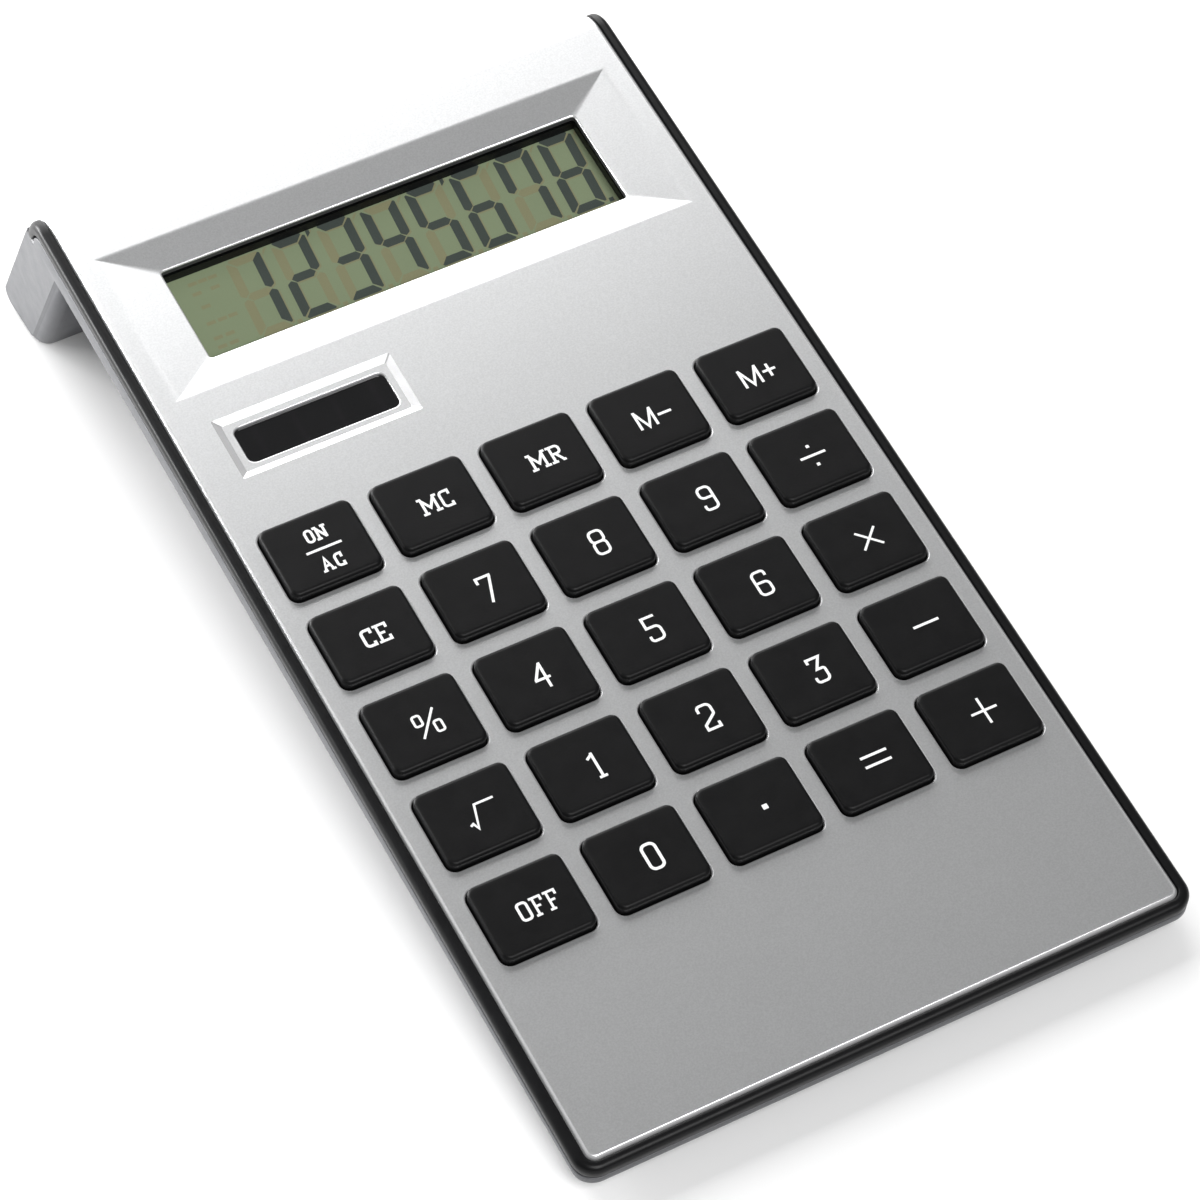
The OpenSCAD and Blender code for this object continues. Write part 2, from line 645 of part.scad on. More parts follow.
module circuit_board() {
    color("seagreen") tilted() difference() {
        translate([-board_w / 2, board_front, board_bottom])
            cube([board_w, board_rear - board_front, board_t]);
        for (s = board_screws_at) translate([s[0], s[1], board_bottom - 1])
            cylinder(r = screw_r + 0.2, h = board_t + 2);
    }
}

module chip() {
    color("black") tilted() translate([0, 12, board_bottom - PART_GAP]) mirror([0, 0, 1]) rotate_extrude()
        polygon(concat([[0, 0]], [for (a = [0 : 15 : 90]) [7 * cos(a), 1.4 * sin(a)]]));
}

module capacitor() {
    r = min(2, (board_bottom - floor_in - 0.6) / 2);
    color("navy") tilted() translate([-14, 26, board_bottom - PART_GAP - r]) {
        rotate([0, 90, 0]) cylinder(r = r, h = 6.5);
        for (y = [-r / 2, r / 2]) translate([-1.5, y - 0.2, 0]) cube([1.6, 0.4, r]);
    }
}

module resistors() {
    color("tan") tilted() for (k = [0 : 2]) translate([10, 22 + 4 * k, board_bottom - PART_GAP - 1]) {
        rotate([0, 90, 0]) cylinder(r = 0.8, h = 4);
        for (x = [-1.2, 4.8]) translate([x, -0.2, -0.2]) cube([0.4, 0.4, 1.2]);
        translate([-1.2, -0.2, -0.2]) cube([6.4, 0.4, 0.4]);
    }
}

// ---- Wires ----

module wire(pts, r) {
    for (i = [0 : len(pts) - 2]) hull() for (p = [pts[i], pts[i + 1]]) translate(p) sphere(r = r, $fn = 16);
}

wire_r = 0.45;

module solar_leads() {
    land = board_bottom - PART_GAP - wire_r;
    color("red") tilted() for (x = [0, 1.5]) wire([
        [solar_x - 3.4 + x, solar_y - 1, deck_top - 2.1 - wire_r],
        [solar_x - 3.4 + x, solar_y - 6, land - 0.5],
        [solar_x - 3.4 + x, board_rear + 0.6, land - 0.8],
        [solar_x - 3.4 + x, board_rear - 2, land]], wire_r);
}

module battery_leads() {
    land = board_bottom - PART_GAP - wire_r;
    front = cell_y - cell_dia / 2 - cell_gap - well_wall - 0.6;
    color("firebrick") tilted() for (x = [-2, 2]) wire([
        [cell_x + x, front, cell_top - 0.8], [cell_x + x, front - 2, cell_top - 1],
        [cell_x + x, board_rear + 1, land - 0.8], [cell_x + x, board_rear - 2, land]], wire_r);
}

// ---- Battery ----

module battery_door() {
    color("darkgray") tilted() difference() {
        union() {
            translate([cell_x, door_y, 0]) slab(belly, belly + door_t) rounded_rect(door_w, door_d, 0.9);
            translate([cell_x - tongue_w / 2, door_y - door_d / 2 - tongue_l, belly + door_t - tongue_t])
                cube([tongue_w, tongue_l + 1, tongue_t]);
        }
        for (k = [0 : 4]) translate([cell_x - 5, door_y + 1.5 + k * 1.4, belly - 0.1]) cube([10, 0.6, 0.4]);
    }
}

module button_cell() {
    color("lightgray") tilted() translate([cell_x, cell_y, cell_bottom]) {
        cylinder(d = cell_dia, h = cell_h - 0.3);
        cylinder(d = cell_dia - 1.6, h = cell_h);
    }
}

module contact_negative() {
    color("gold") tilted() {
        translate([cell_x - 2.5, cell_y - cell_dia / 2 - well_wall - 0.6, roof_bottom - contact_t - PART_GAP])
            cube([5, cell_dia / 2 + 4, contact_t]);
    }
}

module contact_positive() {
    color("gold") tilted()
        translate([cell_x + cell_dia / 2 + PART_GAP, cell_y - 2, well_floor + pocket_t + 0.1])
            cube([contact_t, 4, 2.4]);
}

front_panel();
upper_housing();
lower_shell();
display_window();
display_frame();
lcd_panel();
lcd_reflector();
lcd_ribbon();
solar_window();
solar_cell();
keypad_mat();
circuit_board();
chip();
capacitor();
resistors();
solar_leads();
battery_leads();
battery_door();
button_cell();
contact_positive();
contact_negative();
case_screws();
board_screws();
front_feet();
rear_feet();
for (k = KEYS) key(k[1], k[2]);
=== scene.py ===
import json
import math

import bmesh
import bpy
import numpy as np
from mathutils import Euler, Matrix, Vector
from mathutils.geometry import delaunay_2d_cdt


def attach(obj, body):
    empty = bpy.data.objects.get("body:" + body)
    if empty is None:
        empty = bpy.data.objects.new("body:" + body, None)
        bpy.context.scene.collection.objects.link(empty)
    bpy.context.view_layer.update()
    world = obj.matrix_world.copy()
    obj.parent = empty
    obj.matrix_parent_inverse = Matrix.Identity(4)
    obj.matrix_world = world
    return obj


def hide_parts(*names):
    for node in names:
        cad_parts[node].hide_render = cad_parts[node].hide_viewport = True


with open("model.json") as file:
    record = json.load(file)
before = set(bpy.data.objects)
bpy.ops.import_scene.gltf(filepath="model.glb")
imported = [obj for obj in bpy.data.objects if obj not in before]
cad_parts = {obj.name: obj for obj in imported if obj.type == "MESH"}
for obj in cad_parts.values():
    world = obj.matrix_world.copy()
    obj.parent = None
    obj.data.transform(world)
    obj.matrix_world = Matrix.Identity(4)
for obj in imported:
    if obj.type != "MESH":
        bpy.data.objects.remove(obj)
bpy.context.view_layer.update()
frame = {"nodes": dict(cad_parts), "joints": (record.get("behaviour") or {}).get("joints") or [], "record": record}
NODES = frame["nodes"]

# ---- The plate frame: millimetres, z = 0 on the flat panel, origin in the middle of the key field ----

PRESS = next(j for j in frame["joints"] if j["name"] == "key_5_press")["axis"]
TILT = math.atan2(-PRESS[1], PRESS[2])
LEVEL = Matrix.Rotation(-TILT, 4, "X")


def levelled(node):
    """A CAD node's vertices turned so that the panel lies flat, in millimetres."""
    return np.array([LEVEL @ v.co for v in NODES[node].data.vertices]) * 1000


PANEL = levelled("front_panel")
KEY_5 = levelled("key_5")
ORIGIN = np.array([0, (KEY_5[:, 1].min() + KEY_5[:, 1].max()) / 2, PANEL[:, 2].max()])
PLATE = Matrix.Rotation(TILT, 4, "X") @ Matrix.Translation(Vector(ORIGIN) / 1000) @ Matrix.Scale(0.001, 4)


def span(node, above=-1e9):
    """Lowest and highest corner of a node in the plate frame, from its vertices higher than above."""
    co = levelled(node) - ORIGIN
    co = co[co[:, 2] > above]
    return co.min(0), co.max(0)


PANEL = PANEL - ORIGIN
PANEL_W = PANEL[:, 0].max()
PANEL_FRONT = PANEL[:, 1].min()
CURL_Y = PANEL[PANEL[:, 2] > -0.001][:, 1].max()
BODY_LO, BODY_HI = span("upper_housing")
BODY_W = BODY_HI[0]
BODY_FRONT = BODY_LO[1]
CURL_R = 6.0
BEND = math.radians(68)
PANEL_BEND = math.radians(62)
LIFT = (PLATE @ Vector((0, 0, 0))).z * 1000
LENS_LO, LENS_HI = span("display_window")
LCD_LO, LCD_HI = span("lcd_panel")
SOLAR_LO, SOLAR_HI = span("solar_window")
WINDOW = ((LENS_LO[0] + LENS_HI[0]) / 2, (LENS_LO[1] + LENS_HI[1]) / 2)
WINDOW_W = LENS_HI[0] - LENS_LO[0] - 3
WINDOW_D = LENS_HI[1] - LENS_LO[1] - 4
SOLAR = ((SOLAR_LO[0] + SOLAR_HI[0]) / 2, (SOLAR_LO[1] + SOLAR_HI[1]) / 2)
SOLAR_W = SOLAR_HI[0] - SOLAR_LO[0] - 3.6
SOLAR_D = SOLAR_HI[1] - SOLAR_LO[1] - 3.6
BEZEL_SIDE, BEZEL_END, BEZEL_DROP = 8.3, 5.75, 0.93
LEDGE, SOLAR_BEVEL, SOLAR_DROP = 1.15, 1.2, 0.5
KEY_GAP, KEY_R, KEY_EDGE = 0.25, 1.4, 0.6
CORNER_R = 3.4
BELLY = -12.3
DOWN = (math.cos(BEND), -math.sin(BEND))
OUT = (math.sin(BEND), math.cos(BEND))
S_BEND = CURL_Y + CURL_R * BEND

KEYS = [
    ["key_on_ac", "key_mc", "key_mr", "key_m_minus", "key_m_plus"],
    ["key_ce", "key_7", "key_8", "key_9", "key_divide"],
    ["key_percent", "key_4", "key_5", "key_6", "key_multiply"],
    ["key_root", "key_1", "key_2", "key_3", "key_minus"],
    ["key_off", "key_0", "key_point", "key_equals", "key_plus"],
]


def bent(x, s, d):
    """A point d below the skin and s along it; the skin is flat, bends over and runs down the rear face."""
    if s <= CURL_Y:
        return (x, s, -d)
    a = min((s - CURL_Y) / CURL_R, BEND)
    y = CURL_Y + (CURL_R - d) * math.sin(a)
    z = -CURL_R + (CURL_R - d) * math.cos(a)
    k = max(s - S_BEND, 0)
    return (x, y + k * DOWN[0], z + k * DOWN[1])


def on_rear(s, d):
    top = bent(0, S_BEND, d)
    return (top[1] + s * DOWN[0], top[2] + s * DOWN[1])


def height(y, z):
    return y * math.sin(TILT) + z * math.cos(TILT) + LIFT


def above_desk(y, h):
    return (h - LIFT - y * math.sin(TILT)) / math.cos(TILT)


# ---- Mesh building ----


class Shape:
    """Collects rings of points and the faces between them, in the plate frame."""

    def __init__(self):
        self.v, self.f, self.smooth, self.mat = [], [], [], []

    def ring(self, pts):
        first = len(self.v)
        self.v += [tuple(p) for p in pts]
        return list(range(first, len(self.v)))

    def face(self, idx, smooth=False, mat=0):
        if len(set(idx)) > 2:
            self.f.append(tuple(idx))
            self.smooth.append(smooth)
            self.mat.append(mat)

    def bridge(self, a, b, smooth=True, mat=0, closed=True):
        n = len(a)
        for i in range(n if closed else n - 1):
            j = (i + 1) % n
            self.face((a[i], a[j], b[j], b[i]), smooth, mat)

    def loft(self, rings, smooth=True, mat=0, closed=True):
        ids = [self.ring(r) for r in rings]
        for k in range(len(ids) - 1):
            sm = smooth[k] if isinstance(smooth, (list, tuple)) else smooth
            self.bridge(ids[k], ids[k + 1], sm, mat, closed)
        return ids

    def fill(self, outer, holes=(), smooth=False, mat=0, flip=False):
        """Triangles inside the loop outer and outside the loops in holes, in plan."""
        loops = [outer, *holes]
        idx = [i for lp in loops for i in lp]
        pts = [Vector(self.v[i][:2]) for i in idx]
        edges, base = [], 0
        for lp in loops:
            edges += [(base + i, base + (i + 1) % len(lp)) for i in range(len(lp))]
            base += len(lp)
        vs, _, tris, origin, _, _ = delaunay_2d_cdt(pts, edges, [], 0, 1e-6)
        where = [idx[o[0]] if o else None for o in origin]
        polys = [np.array([self.v[i][:2] for i in lp]) for lp in loops]
        for t in tris:
            c = sum((vs[i] for i in t), Vector((0, 0))) / 3
            if not inside(polys[0], c) or any(inside(p, c) for p in polys[1:]):
                continue
            ids = [where[i] for i in t]
            if None in ids:
                continue
            self.face(ids[::-1] if flip else ids, smooth, mat)

    def build(self, name, materials, body, slot, replaces=(), normals=True):
        me = bpy.data.meshes.new(name)
        me.from_pydata(self.v, [], self.f)
        me.polygons.foreach_set("use_smooth", self.smooth)
        me.polygons.foreach_set("material_index", self.mat)
        bm = bmesh.new()
        bm.from_mesh(me)
        bmesh.ops.remove_doubles(bm, verts=bm.verts, dist=0.0005)
        bmesh.ops.dissolve_degenerate(bm, dist=0.0001, edges=bm.edges)
        if normals:
            bmesh.ops.recalc_face_normals(bm, faces=bm.faces)
        bm.to_mesh(me)
        bm.free()
        me.transform(PLATE)
        me.validate()
        o = bpy.data.objects.new(name, me)
        bpy.context.scene.collection.objects.link(o)
        for m in materials:
            me.materials.append(m)
        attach(o, body)
        if replaces:
            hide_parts(*replaces)
        return o


def inside(poly, p):
    x, y = p[0], p[1]
    a, b = poly, np.roll(poly, -1, 0)
    cross = (a[:, 1] > y) != (b[:, 1] > y)
    with np.errstate(divide="ignore", invalid="ignore"):
        at = (b[:, 0] - a[:, 0]) * (y - a[:, 1]) / (b[:, 1] - a[:, 1]) + a[:, 0]
    return bool(np.count_nonzero(cross & (x < at)) % 2)


def round_rect(cx, cy, w, d, r, n=6):
    """Plan points of a rounded rectangle, counter-clockwise; every corner has n + 1 points."""
    out = []
    for k, (sx, sy) in enumerate(((1, 1), (-1, 1), (-1, -1), (1, -1))):
        for i in range(n + 1):
            a = math.pi / 2 * (k + i / n)
            out.append((cx + sx * (w / 2 - r) + r * math.cos(a), cy + sy * (d / 2 - r) + r * math.sin(a)))
    return out


def at(pts, z):
    return [(p[0], p[1], z) for p in pts]


# ---- Materials ----


def new_mat(name, base, rough, metallic=0.0, **sockets):
    m = bpy.data.materials.new(name)
    m.use_nodes = True
    nt = m.node_tree
    b = nt.nodes["Principled BSDF"]
    b.inputs["Base Color"].default_value = (*base, 1)
    b.inputs["Roughness"].default_value = rough
    b.inputs["Metallic"].default_value = metallic
    for k, v in sockets.items():
        b.inputs[k.replace("_", " ")].default_value = v
    return m, nt, b


def coords(nt):
    n = nt.nodes.new("ShaderNodeTexCoord")
    return n.outputs["Object"]


def noise(nt, scale, detail=3.0):
    n = nt.nodes.new("ShaderNodeTexNoise")
    n.inputs["Scale"].default_value = scale
    n.inputs["Detail"].default_value = detail
    n.inputs["Roughness"].default_value = 0.6
    nt.links.new(coords(nt), n.inputs["Vector"])
    return n.outputs["Fac"]


def ramp(nt, fac, stops):
    r = nt.nodes.new("ShaderNodeValToRGB")
    el = r.color_ramp.elements
    while len(el) < len(stops):
        el.new(0.5)
    for e, (pos, c) in zip(el, stops):
        e.position = pos
        e.color = (*c, 1) if len(c) == 3 else c
    nt.links.new(fac, r.inputs["Fac"])
    return r.outputs["Color"]


NOISE_LO, NOISE_HI = 0.35, 0.65


def vary(nt, bsdf, fac, c0, c1, lo=NOISE_LO, hi=NOISE_HI):
    nt.links.new(ramp(nt, fac, [(lo, c0), (hi, c1)]), bsdf.inputs["Base Color"])


def vary_rough(nt, bsdf, fac, r0, r1):
    m = nt.nodes.new("ShaderNodeMapRange")
    m.inputs["From Min"].default_value = NOISE_LO
    m.inputs["From Max"].default_value = NOISE_HI
    m.inputs["To Min"].default_value = r0
    m.inputs["To Max"].default_value = r1
    nt.links.new(fac, m.inputs["Value"])
    nt.links.new(m.outputs["Result"], bsdf.inputs["Roughness"])


def bump(nt, bsdf, fac, height_m):
    b = nt.nodes.new("ShaderNodeBump")
    b.inputs["Distance"].default_value = height_m
    b.inputs["Strength"].default_value = 1.0
    nt.links.new(fac, b.inputs["Height"])
    nt.links.new(b.outputs["Normal"], bsdf.inputs["Normal"])


def shade(c, k):
    return tuple(x * k for x in c)


def simple(name, base, rough, metallic=0.0, grain=3000, bump_m=0.00001, spread=0.06, sheen=0.08, **sockets):
    """A moulded or plain surface: fine grain in the colour, the gloss and the surface."""
    m, nt, b = new_mat(name, base, rough, metallic, **sockets)
    fine = noise(nt, grain, 2.0)
    vary(nt, b, fine, shade(base, 1 - spread), shade(base, 1 + spread))
    vary_rough(nt, b, noise(nt, grain / 12, 3.0), rough * (1 - sheen), min(1, rough * (1 + sheen)))
    if bump_m:
        bump(nt, b, fine, bump_m)
    return m


MATS = {}
SILVER = (0.615, 0.62, 0.625)
MATS["silver_panel"] = simple("silver_lacquer", SILVER, 0.33, 0.93, grain=3400, bump_m=0.000006,
                              spread=0.055, sheen=0.012)
MATS["silver_edge"] = simple("silver_edge", (0.86, 0.86, 0.87), 0.24, 0.7, grain=5200, bump_m=0.000002,
                             spread=0.03)
MATS["black_housing"] = simple("black_housing", (0.004, 0.004, 0.0045), 0.34, grain=4200, bump_m=0.000004,
                               Specular_IOR_Level=0.18)
MATS["grey_shell"] = simple("grey_shell", (0.085, 0.087, 0.094), 0.40, grain=3600, bump_m=0.00001,
                            Specular_IOR_Level=0.6)
MATS["key_plastic"] = simple("key_plastic", (0.0032, 0.0032, 0.0035), 0.40, grain=3800, bump_m=0.000012,
                             spread=0.12, Specular_IOR_Level=0.16)
MATS["ink"] = simple("legend_ink", (0.85, 0.86, 0.86), 0.5, grain=3800, bump_m=0.000004, spread=0.03)
# Also used on the inner wall of the front panel's window, where its darkness is painted shade in the recess
MATS["deck"] = simple("deck_black_and_window_wall_shade", (0.045, 0.045, 0.05), 0.6)
MATS["reflector"] = simple("reflector", (0.6, 0.62, 0.55), 0.35, 0.6)
MATS["ribbon"] = simple("ribbon", (0.45, 0.33, 0.12), 0.4)
MATS["solar_cell"] = simple("solar_cell", (0.03, 0.012, 0.016), 0.18)
MATS["silicone"] = simple("silicone", (0.62, 0.62, 0.60), 0.6)
MATS["board"] = simple("board", (0.04, 0.17, 0.08), 0.38)
MATS["epoxy"] = simple("epoxy", (0.012, 0.012, 0.012), 0.35)
MATS["capacitor_sleeve"] = simple("capacitor_sleeve", (0.02, 0.03, 0.15), 0.3)
MATS["resistor_body"] = simple("resistor_body", (0.5, 0.36, 0.2), 0.35)
MATS["wire"] = simple("wire", (0.45, 0.02, 0.02), 0.4)
MATS["cell_steel"] = simple("cell_steel", (0.62, 0.62, 0.62), 0.22, 1.0)
MATS["contact_metal"] = simple("contact_metal", (0.75, 0.6, 0.3), 0.25, 1.0)
MATS["screw_steel"] = simple("screw_steel", (0.42, 0.42, 0.43), 0.3, 1.0)
MATS["foot_rubber"] = simple("foot_rubber", (0.028, 0.028, 0.03), 0.75, grain=1800, bump_m=0.00003)
MATS["lcd_glass"] = simple("lcd_green", (0.41, 0.475, 0.30), 0.42, grain=6000, bump_m=0.000002, spread=0.03)
MATS["segment"] = simple("segment_dark", (0.1, 0.118, 0.11), 0.4, grain=6000, bump_m=0, spread=0.05)
MATS["ghost"] = simple("segment_ghost", (0.44, 0.415, 0.25), 0.42, grain=6000, bump_m=0, spread=0.03)


ACRYLIC_IOR = 1.49


def clear_material(name, outer):
    """A thin clear window: straight-through light, with a surface gloss on its outer face only."""
    m, nt, b = new_mat(name, (0.02, 0.02, 0.02), 0.05)
    vary_rough(nt, b, noise(nt, 120, 2.0), 0.04, 0.08)
    clear = nt.nodes.new("ShaderNodeBsdfTransparent")
    clear.inputs["Color"].default_value = (0.955, 0.965, 0.955, 1)
    mix = nt.nodes.new("ShaderNodeMixShader")
    if outer:
        fres = nt.nodes.new("ShaderNodeFresnel")
        fres.inputs["IOR"].default_value = ACRYLIC_IOR
        nt.links.new(fres.outputs["Fac"], mix.inputs["Fac"])
    else:
        haze = nt.nodes.new("ShaderNodeMath")
        haze.operation = "MULTIPLY"
        haze.inputs[1].default_value = 0.02
        nt.links.new(noise(nt, 120, 2.0), haze.inputs[0])
        nt.links.new(haze.outputs[0], mix.inputs["Fac"])
    nt.links.new(clear.outputs["BSDF"], mix.inputs[1])
    nt.links.new(b.outputs["BSDF"], mix.inputs[2])
    nt.links.new(mix.outputs["Shader"], nt.nodes["Material Output"].inputs["Surface"])
    return m


MATS["clear_lens"] = clear_material("clear_lens", True)
MATS["clear_inner"] = clear_material("clear_inner", False)


def solar_glass():
    """Dark gloss lens with the cell's faint stripes under it."""
    m, nt, b = new_mat("dark_lens", (0.008, 0.008, 0.009), 0.08, 0.0)
    wave = nt.nodes.new("ShaderNodeTexWave")
    wave.inputs["Scale"].default_value = 48
    wave.inputs["Distortion"].default_value = 0
    nt.links.new(coords(nt), wave.inputs["Vector"])
    vary(nt, b, wave.outputs["Fac"], (0.005, 0.005, 0.0055), (0.0065, 0.006, 0.007), 0.93, 0.99)
    vary_rough(nt, b, noise(nt, 160), 0.07, 0.11)
    return m


MATS["dark_lens"] = solar_glass()

for part in frame["record"]["subparts"]:
    o = NODES[part["node"]]
    o.data.materials.clear()
    o.data.materials.append(MATS[part["material_slot"]])

# ---- Outlines that run round the case ----

ROW_STEP = 18


def case_outline(w, front, r, s_end, rear_share=1.0, side_n=26):
    """A loop in (x, s) with its inward direction: rounded front corners, straight sides, square rear."""
    bends = [CURL_Y + (s_end - CURL_Y) * k / ROW_STEP for k in range(ROW_STEP + 1)]
    flats = [front + r + (CURL_Y - front - r) * k / side_n for k in range(side_n)]
    right = [((w, s), (-1, 0)) for s in flats + bends[:-1]]
    left = [((-w, s), (1, 0)) for s in (flats + bends[:-1])[::-1]]
    rear = [((w, s_end), (-1, -rear_share)), ((-w, s_end), (1, -rear_share))]
    n = 10
    fl = [((-w + r, front + r), math.pi + math.pi / 2 * k / n) for k in range(1, n)]
    fr = [((w - r, front + r), 1.5 * math.pi + math.pi / 2 * k / n) for k in range(1, n)]
    front_pts = [((-w + r + (2 * w - 2 * r) * k / 16, front), (0, 1)) for k in range(17)]

    def loop(inset, d):
        out = [(p[0] + q[0] * inset, p[1] + q[1] * inset) for p, q in right + rear + left]
        for c, a in fl:
            out.append(corner_point(c, a, inset))
        out += [(p[0] + q[0] * inset, p[1] + q[1] * inset) for p, q in front_pts]
        for c, a in fr:
            out.append(corner_point(c, a, inset))
        return [bent(x, s, d) for x, s in out]

    def corner_point(c, a, inset):
        rr = max(r - inset, 0)
        over = max(inset - r, 0)
        sx = -1 if math.cos(a) < 0 else 1
        return (c[0] + rr * math.cos(a) - sx * over, c[1] + rr * math.sin(a) + over)

    return loop, (len(right), len(flats))


def flat_part(ids, marks, shape, holes, mat=0, flip=False):
    """Fills a loop's flat part with a plan fill and its bend with cross strips."""
    ns, nf = marks
    right = ids[:ns]
    left = ids[ns + 2:2 * ns + 2][::-1]
    rear_r, rear_l = ids[ns], ids[ns + 1]
    outer = ids[:nf + 1] + ids[ns + 2 + (ns - nf - 1):]
    shape.fill(outer, holes, mat=mat, flip=flip)
    rr, ll = right[nf:] + [rear_r], left[nf:] + [rear_l]
    for k in range(len(rr) - 1):
        shape.face((rr[k], rr[k + 1], ll[k + 1], ll[k]), True, mat)


def key_box(name):
    """Middle, width, depth and top of a key's cap above the panel."""
    lo, hi = span(name, 0.0)
    return (lo[0] + hi[0]) / 2, (lo[1] + hi[1]) / 2, hi[0] - lo[0], hi[1] - lo[1], hi[2]


LIP_STEPS = 4


def lip_rings(cx, cy, w, d, r, lip, z, n=6):
    """A quarter-round edge of radius lip that turns down from the height z into an opening w by d."""
    rings = []
    for k in range(LIP_STEPS + 1):
        a = math.pi / 2 * k / LIP_STEPS
        o = lip * (1 - math.sin(a))
        rings.append(at(round_rect(cx, cy, w + 2 * o, d + 2 * o, r + o, n), z - lip * (1 - math.cos(a))))
    return rings


# ---- Front panel ----

KEY_LIP, WINDOW_LIP, SOLAR_LIP = 0.32, 0.28, 0.2
WINDOW_R, SOLAR_R = 0.5, 1.2


def front_panel():
    sh = Shape()
    loop, marks = case_outline(PANEL_W, PANEL_FRONT, 1.6, CURL_Y + CURL_R * PANEL_BEND)
    edge = [(0.62, 0.0), (0.52, 0.012), (0.44, 0.05), (0.06, 0.43), (0.0, 0.56), (0.0, 0.98), (0.8, 1.0)]
    ids = sh.loft([loop(i, d) for i, d in edge], mat=1)
    holes = []
    for row in KEYS:
        for name in row:
            cx, cy, w, d, _ = key_box(name)
            w, d = w + 2 * KEY_GAP, d + 2 * KEY_GAP
            rings = lip_rings(cx, cy, w, d, KEY_R + KEY_GAP, KEY_LIP, 0)
            rings.append(at(round_rect(cx, cy, w, d, KEY_R + KEY_GAP), -1.0))
            holes.append(sh.loft(rings, mat=1)[0])
    cx, cy = WINDOW
    lip = WINDOW_LIP
    brim = at(round_rect(cx, cy, WINDOW_W + 2 * lip, WINDOW_D + 2 * lip, 0.75, 3), -BEZEL_DROP + 0.02)

    def facet(t, z):
        side, end = BEZEL_SIDE * (1 - t) + lip * t, BEZEL_END * (1 - t) + lip * t
        return at(round_rect(cx, cy, WINDOW_W + 2 * side, WINDOW_D + 2 * end, 0.05 + 0.7 * max(t, 0), 3), z)

    crease = sh.loft([facet(-0.05, 0), facet(-0.02, -0.003), facet(0.02, -0.022), facet(0.06, -0.055)])
    holes.append(crease[0])
    rings = [crease[-1], sh.ring(brim)]
    sh.bridge(rings[0], rings[1], False, 0)
    wall = lip_rings(cx, cy, WINDOW_W, WINDOW_D, WINDOW_R, lip, -BEZEL_DROP, 3)[1:]
    wall.append(at(round_rect(cx, cy, WINDOW_W, WINDOW_D, WINDOW_R, 3), -2.0))
    wall.append(at(round_rect(cx, cy, WINDOW_W + 6, WINDOW_D + 6, WINDOW_R, 3), -2.0))
    ids_wall = [rings[1]] + [sh.ring(w) for w in wall]
    for k in range(LIP_STEPS):
        sh.bridge(ids_wall[k], ids_wall[k + 1], True, 1)
    # Below the lip, the window's inner wall takes the dark deck colour: painted shade on the recess wall
    for k in range(LIP_STEPS, len(ids_wall) - 1):
        sh.bridge(ids_wall[k], ids_wall[k + 1], False, 2)
    cx, cy = SOLAR
    w, d = SOLAR_W + 2 * LEDGE, SOLAR_D + 2 * LEDGE
    b = sh.loft([
        at(round_rect(cx, cy, w + 2 * SOLAR_BEVEL, d + 2 * SOLAR_BEVEL, 0.3), 0),
        at(round_rect(cx, cy, w, d, 0.25), -SOLAR_DROP),
    ], smooth=False, mat=1)
    holes.append(b[0])
    rim = lip_rings(cx, cy, SOLAR_W, SOLAR_D, SOLAR_R, SOLAR_LIP, -SOLAR_DROP)
    rim.append(at(round_rect(cx, cy, SOLAR_W, SOLAR_D, SOLAR_R), -1.0))
    rid = sh.loft(rim, mat=1)
    sh.bridge(b[1], rid[0], False, 0)
    flat_part(ids[0], marks, sh, holes)
    sh.build("panel_lacquered", [MATS["silver_panel"], MATS["silver_edge"], MATS["deck"]], "case",
             "silver_panel", ["front_panel"])


# ---- Upper housing ----


def upper_housing():
    sh = Shape()
    s_end = S_BEND + 1.6
    pocket, marks = case_outline(PANEL_W + 0.2, PANEL_FRONT - 0.2, 1.8,
                                 CURL_Y + CURL_R * (PANEL_BEND + math.radians(2)))
    body, _ = case_outline(BODY_W, BODY_FRONT, CORNER_R, s_end, 0.3)
    rings = [pocket(0.0, 1.05), pocket(0.0, 0.27), pocket(-0.04, 0.19), pocket(-0.12, 0.15)]
    r = 1.1
    for k in range(9):
        a = math.pi / 2 * k / 8
        rings.append(body(r * (1 - math.sin(a)), 0.15 + r * (1 - math.cos(a))))
    rings += [body(0, 2.06), body(0.04, 2.16), body(0.14, 2.2), body(2.0, 2.25), body(2.1, 3.2),
              body(3.3, 3.2), body(3.4, 2.25)]
    ids = sh.loft(rings)
    holes, low_holes = [], []
    spots = []
    for row in KEYS:
        for name in row:
            x, y, w, d, _ = key_box(name)
            spots.append((x, y, w + 2 * KEY_GAP, d + 2 * KEY_GAP, KEY_R + KEY_GAP))
    spots.append((*WINDOW, WINDOW_W + 2 * BEZEL_SIDE + 2, WINDOW_D + 2 * BEZEL_END + 2, 0.2))
    spots.append((*SOLAR, SOLAR_W + 2 * LEDGE + 2.6, SOLAR_D + 2 * LEDGE + 2.6, 0.2))
    for s in spots:
        a, b = sh.loft([at(round_rect(*s), -1.05), at(round_rect(*s), -2.25)], smooth=False)
        holes.append(a)
        low_holes.append(b)
    flat_part(ids[0], marks, sh, holes)
    flat_part(ids[-1], marks, sh, low_holes, flip=True)
    sh.build("housing_black", [MATS["black_housing"]], "case", "black_housing", ["upper_housing"])


# ---- Lower shell ----

FRONT_GAP = 2.0
PAD_H = 0.5
SIDE_Z0 = above_desk(BODY_FRONT, FRONT_GAP)
SIDE_SLOPE = math.tan(math.radians(0.85))
FLANK = math.tan(math.radians(50))
FOOT_T = 13.0
FOOT_SIDE_R = 2.4
FOOT_TOE_R, FOOT_HEEL_R = 1.3, 2.06
SHELL_TOP, SHELL_WALL = 2.6, 1.6
DOOR_GAP, DOOR_D, DOOR_TRAVEL = 0.25, 18.0, 3.0
HEAD_R, BORE_R, CELL_GAP = 2.0, 2.2, 0.3


